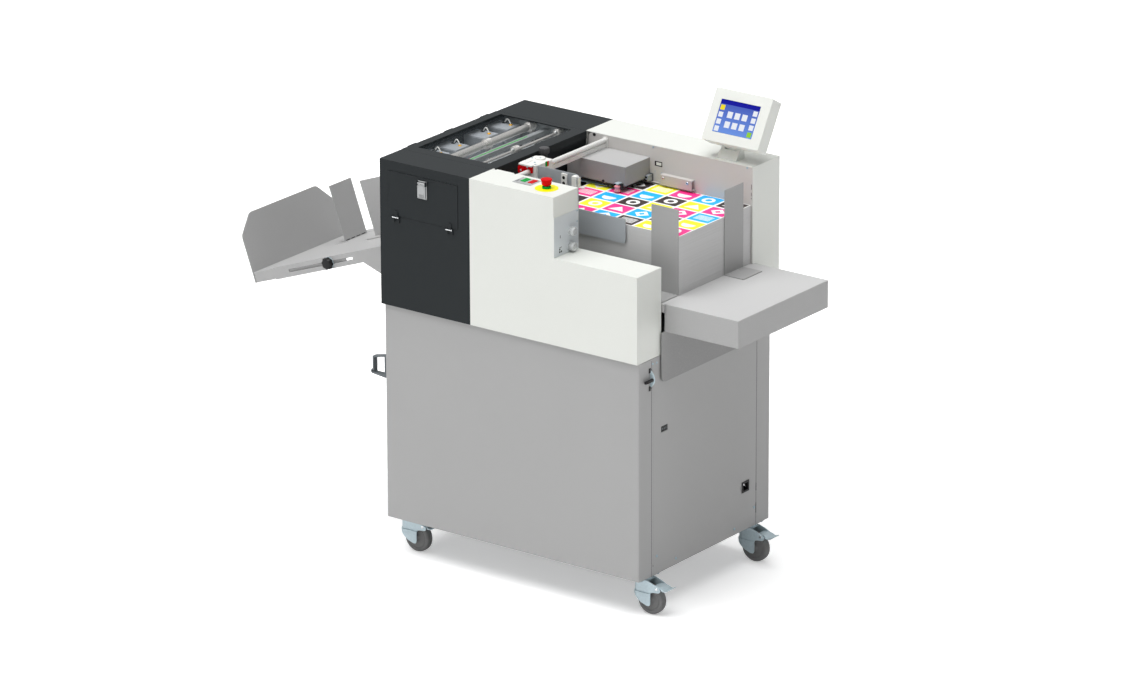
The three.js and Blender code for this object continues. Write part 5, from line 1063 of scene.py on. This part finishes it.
# %% [markdown]
# The suction head hangs over the pile. Black bars edge the opening of its housing, a nose plate lies ahead
# of it, and a suction cup on a short stem and the grooved rotor pick the top sheet.

# %% Suction head
CUP_AT = [484, 387, 0]
trim = [((356.9, 500.6), (397.8, 399.6)), ((356.9, 500.6), (504.5, 506.3)), ((356.9, 358.6), (398, 506)),
        ((499, 500.8), (398, 506))]
fit("base", ("head_trim", BLACK, 0.6, [*[(x, y, (1008.6, 1010.6)) for x, y in trim],
                                       ((310.5, 357), (401.8, 403.6), (1004.8, 1006.8))]))
nose = ring_eased([[335, 425], [353, 401], [448, 411], [408, 419]], 2)
pad = ring_eased(rect(374, 357, 394, 369), 5)
make("nose_plate", "base", [plate("z", nose, [999.0, 1000.2])], PALE, bevel=0.3)
make("nose_pad", "base", [plate("z", pad, [996.6, 998.4])], WHITE_PLASTIC, bevel=0.5)
rotor = [[0, 396.2, 0], [4, 396.2, 0], [4, 410, 0], [15.8, 410, 0], [16.5, 410.8, 0]]
for a in (410, 438, 466):
    rotor += [[16.5, a + 10, 0], [14.6, a + 10.8, 1], [14.6, a + 17.2, 1], [16.5, a + 18, 0]]
rotor += [[16.5, 493.2, 0], [15.8, 494, 0], [4, 494, 0], [4, 511, 0], [0, 511, 0]]
make("rotor_drum", "suction_rotor", [turned("y", [430, 0, 1015], rotor, 96, 24, 1.2)], BLACK,
     stands_for=["suction_rotor"])
cup = [[0, 998], [9.4, 998], [9.8, 1000], [7.2, 1005], [7.2, 1008], [8.8, 1011], [6, 1015], [0, 1015]]
make("suction_cup", "base", [moved(turned("z", CUP_AT, eased(cup, 0.7), 48), [0, 0, 2])], PINK)
fit("base", ("suction_arms", BLACK, 0.4, [((x, x + 1.6), (386, 398.4), (1004, 1020)) for x in (472.4, 494)]))
stem = [turned("z", CUP_AT, rect(0, 1016.6, 3, 1021), 20), block([477, 491], [383, 398.4], [1020.6, 1022.6])]
make("suction_stem", "base", stem, ZINC, bevel=0.3)
fit("base", ("head_connector", ACTUATOR, 1.2, [((501.1, 510), (486, 505.4), (1003.4, 1021))]),
    ("connector_plugs", BLACK, 0.5, [((501.6, 508), (484.6, 486.4), (z, z + 4.4)) for z in (1005, 1014)]),
    ("connector_bracket", BOW, 0.4, [((501.1, 512), (505.2, 507.8), (1001, 1023))]))
print("suction head: trim of", len(trim) + 1, "bars")

# %% [markdown]
# The rear plate carries a small sensor window, a ledge for the separating air with its screws, a thin ledge
# at the pile's top and three slots near its end. Black fills the screws' sockets and the slots as painted
# shade.

# %% Rear plate
LEDGE_SCREWS = (554, 632)
window = [((517, 541), z) for z in [(1045.4, 1047.8), (1056.2, 1058.6)]]
window += [(x, (1045.4, 1058.6)) for x in [(517, 521.6), (538.4, 541)]]
fit("base", ("sensor_frame", BLACK, 0.3, [(x, (507.2, 508), z) for x, z in window]),
    ("sensor_glass", WHITE_PLASTIC, 0.2, [((521.4, 538.6), (507.6, 508), (1047.6, 1056.4))]))
make("sensor_pins", "base", [screw("-y", [x, 508, 1030], 1.4, 0.7) for x in (517.8, 538.6)], SCREW)
ledge = ring_eased(rect(545.4, 1002.4, 644.6, 1029.6), 2)
make("air_ledge_face", "base", [plate("y", ledge, [493.4, 494])], PINKISH, bevel=0.2)
make("air_ledge_screws", "base", [screw("-y", [x, 493.4, 1021.5], 4.4, 2.2) for x in LEDGE_SCREWS], CHROME)
# Painted shade: black discs fill the sockets of the ledge's screws.
socket = rect(0, 492.9, 2.3, 492.0)
make("air_ledge_socket_shade", "base", [turned("y", [x, 0, 1021.5], socket, 18) for x in LEDGE_SCREWS], BLACK)
fit("base", ("pile_ledge", PINKISH, 0.3, [((492, 650), (501, 507.9), (1000.8, 1002.2))]))
plate_screws = [screw("-y", [x, 508, z], 3.0, 1.5) for x, z in [(511.8, 1094.9), (812.6, 1095.0)]]
make("rear_plate_screws", "base", plate_screws, SCREW)
stud = eased([[0, 508], [4.4, 508], [4.4, 506], [0, 505.2]], 0.5)
make("rear_plate_stud", "base", [turned("y", [320.7, 0, 1094.0], stud, 28)], BLACK)
# Painted shade: thin black strips in the three slots.
fit("base", ("rear_plate_slot_shade", BLACK, 0, [((825.4, 826.6), (507.7, 508), z)
                                            for z in [(1038, 1052), (1020, 1030), (1012, 1016)]]))
print("rear plate fasteners:", len(plate_screws) + 1)

# %% [markdown]
# The side guide hangs on a carriage that slides along the ground rod. The carriage is a light casting with
# screws in recesses. The infeed knob beside it is black and deeply fluted, and a white bracket and an end
# block hold the sheet steel arm. The red clamp is a jaw over the rod and a square grip on a pin.

# %% Carriage, side guide and infeed knob
tops = [screw("+z", [x, y, 1105], r, 1.3) for x, y, r in
        [(358.5, 195.2, 3.0), (329.6, 195, 2.4), (330.4, 221.9, 2.4), (372, 180, 2.4)]]
tops += [screw("+z", [355.4, 224.3, 1109.2], 2.6, 1.0), screw("-y", [354.8, 168.1, 1098.6], 2.4, 1.2)]
make("carriage_screws", "side_guide", tops, SCREW)
boss = eased([[0, 1104], [14, 1104], [14, 1108.2], [12.6, 1109.2], [0, 1109.2]], 0.8)
raised = [turned("z", [350.9, 229.3, 0], boss, 48), block([329, 371.5], [163.6, 173], [1101.9, 1106.4]),
          block([329, 346], [173, 204], [1104.4, 1106.4])]
make("carriage_raised", "side_guide", raised, WHITE_PLASTIC, bevel=0.7)
fit("side_guide", ("carriage_green", GREEN, 0.4, [((380.1, 382), (212, 218), (1093, 1107))]),
    ("carriage_red", RED, 0.4, [((380.1, 382), (219, 225), (1093, 1106))]))
saddle = [[357 + 7.6 * math.cos(a), 1086 + 7.6 * math.sin(a)] for a in np.radians(np.linspace(195, -15, 19))]
jaw = [[327, 1084], *saddle, [370.6, 1084], [370.6, 1101.8], [327, 1101.8]]
make("clamp_jaw", "side_guide", [plate("y", jaw, [168.1, 171.9])], RED, bevel=0.5)
grip = ring_eased(np.array(rect(-9.6, -8, 9.6, 10)) + [336.5, 1088], 2.2)
make("clamp_grip", "clamp_lever", [plate("y", grip, [164, 167.8])], RED, bevel=0.6,
     stands_for=["clamp_lever"])
pin = [[0, 168], [2.2, 168], [2.2, 163.6], [1.2, 163.2], [0, 163.2]]
make("clamp_pin", "clamp_lever", [turned("y", [336.5, 0, 1088], pin, 20)], SCREW)
bracket = [plate("y", ring_eased(rect(458, 1070, 476, 1100), 1.5), [175.5, 181])]
make("guide_bracket", "side_guide", bracket, WHITE_PLASTIC, bevel=0.6)
# Painted shade: black discs fill the bracket's two holes.
shaded_hole = [[0, 175.7], [4.6, 175.7], [4.4, 175.1], [0, 174.9]]
shaded_holes = [turned("y", [466.5, 0, z], shaded_hole, 28) for z in (1074.5, 1089.5)]
make("guide_bracket_hole_shade", "side_guide", shaded_holes, BLACK)
fit("side_guide", ("guide_end_block", WHITE_PLASTIC, 0.9, [((497.8, 512.2), (166.8, 181.2), (1070, 1102))]),
    ("guide_end_tip", SILVER, 0.6, [((512.2, 518.5), (168, 180), (1074, 1100))]))
knob = [[0, 1063.8, 0], [4, 1063.8, 0], [4, 1084, 0], [8, 1084.2, 0], [8.4, 1092, 0], [6.4, 1093.4, 0],
        [6.4, 1095.4, 0], [13, 1095.9, 0], [14.2, 1097.4, 1], [14.6, 1108.4, 1], [13.6, 1110.4, 1],
        [10, 1111.2, 0], [0, 1111.3, 0]]
make("infeed_cap", "infeed_knob", [turned("z", [313, 297, 0], knob, 168, 14, 1.8)], KNOB,
     stands_for=["infeed_knob"])

# %% [markdown]
# ## Display
# The case is one closed shell: rings of points run from the recess's middle over the front frame and the
# sides to the middle of the back. It turns on a hub between the neck's ears, and a leaning plate closes the
# neck in front. The glass sits in the recess behind a thin dark seam.

# %% Monitor case, neck and display glass
def tilted(shell):
    """The shell, given in the case's own millimetres, in its place on the tilted case."""
    return np.stack(on_case(*shell[0].T), -1), *shell[1:]


def case_shell():
    """Rings from pole to pole: recess floor, recess edge, outer edge in front and behind."""
    opening = ring_eased(rect(26, 26, 150, 115), 0.3)
    outline = ring_eased(rect(0, 0, 180, 142.6), 5)
    middle = np.broadcast_to([88.0, 70.5], outline.shape)
    rings = [(middle, 1.5), (opening, 1.5), (opening, 0), (outline, 0), (outline, 43), (middle, 43)]
    return grid(np.array([np.insert(ring, 1, deep, axis=1) for ring, deep in rings], float), wrap_v=True)


hub = turned("x", [0, 54, 4.6], closed(rect(4.4, 50.5, 8, 85.5)), 40)
case = [tilted(shell) for shell in (case_shell(), hub, block([50.5, 85.5], [42, 49.4], [0.8, 8.6]))]
make("monitor_shell", "monitor", case, WHITE, bevel=0.9, steps=3, stands_for=["monitor_case"])
front = [[519, 1100], [522, 1100], [539.6, 1121.5], [536.6, 1121.5]]
make("neck_cover", "base", [plate("x", front, [708, 768])], WHITE, bevel=0.5)
make("display_glass", "monitor", [tilted(block([26.4, 149.6], [0.5, 1.45], [26.4, 114.6]))], DISPLAY)
make("display_seam", "monitor", [tilted(block([26.05, 149.95], [1.0, 1.48], [26.05, 114.95]))], BLACK)
back_screw = turned("y", [0, 0, 0], [[0, 0], [2.6, 0], [2.6, 1.2], [1.2, 1.5], [0, 1.0]], 14)
corners = [tilted(moved(back_screw, [u, 43, v])) for u in (12, 168) for v in (12, 130)]
make("case_screws", "monitor", corners, BLACK)
print("display:", SCREEN["wide"], "by", SCREEN["high"], "mm")

# %% [markdown]
# ## Delivery tray
# The tray slopes down 20 degrees. Its places are given along the slope, across the machine, and square to
# the tray's face. A black knob with lobes clamps the extension through a long slot. The upright plates are
# bent from slotted sheet; the slots along their folds and the tray's own slots are thin black blocks of
# painted shade.

# %% Tray fittings
SLOPE = math.radians(20)


def on_tray(down, across, out):
    """A place on the tray: down the slope, across the machine and out from its face."""
    x = -0.3 - 2 * math.sin(SLOPE) - down * math.cos(SLOPE) - out * math.sin(SLOPE)
    return [x, across, 842 - down * math.sin(SLOPE) + out * math.cos(SLOPE)]


def shade_on_slope(name, body, spans):
    """A black piece of painted shade, of blocks given in the tray's own millimetres."""
    shells = [block(*span) for span in spans]
    make(name, body, [(np.stack(on_tray(*points.T), -1), faces) for points, faces in shells], BLACK)


knob_at = on_tray(284, 0, -16.5)
knob = [[0, 95.8, 0], [12.5, 95.9, 0], [14.6, 96.8, 1], [16.6, 98.6, 1], [17, 100.5, 1], [17, 107.4, 1],
        [16, 108.3, 1], [10, 109, 0], [3, 109, 0], [3, 119, 0], [0, 119, 0]]
make("tray_cap", "tray_knob", [turned("y", knob_at, knob, 160, 8, 2.2)], BLACK, stands_for=["tray_knob"])
washer = closed(eased(rect(3.4, 108.6, 16.8, 109.7), 0.3))
make("tray_washer", "tray_knob", [turned("y", knob_at, washer, 64)], ZINC)
# Painted shade: black dashes in the slots along the folds of the stop and the guide.
dash_shade = [(down, (a, a + 17), (0.9, 3.0)) for down in [(420.5, 421.2), (418.8, 419.2)]
          for a in (352, 374, 396, 418)]
shade_on_slope("stop_dash_shade", "tray_stop", dash_shade)
dash_shade = [((a, a + 22), (325.8, 326.2), (0.9, 3.0)) for a in (130, 170, 210, 250)]
shade_on_slope("guide_dash_shade", "tray_guide", dash_shade)
# Painted shade: black strips in the tray's slots and along the extension's long slot.
slot_shade = [((a, a + 46), (y, y + 2.4), (0.0, 0.12)) for a, y in [(395, 330), (395, 452), (262, 300)]]
slot_shade += [((226, 430), (109.8, 112), out) for out in [(-20.2, -19.8), (-13.2, -12.8)]]
shade_on_slope("tray_slot_shade", "base", slot_shade)
print("tray knob at", [round(v, 1) for v in knob_at])
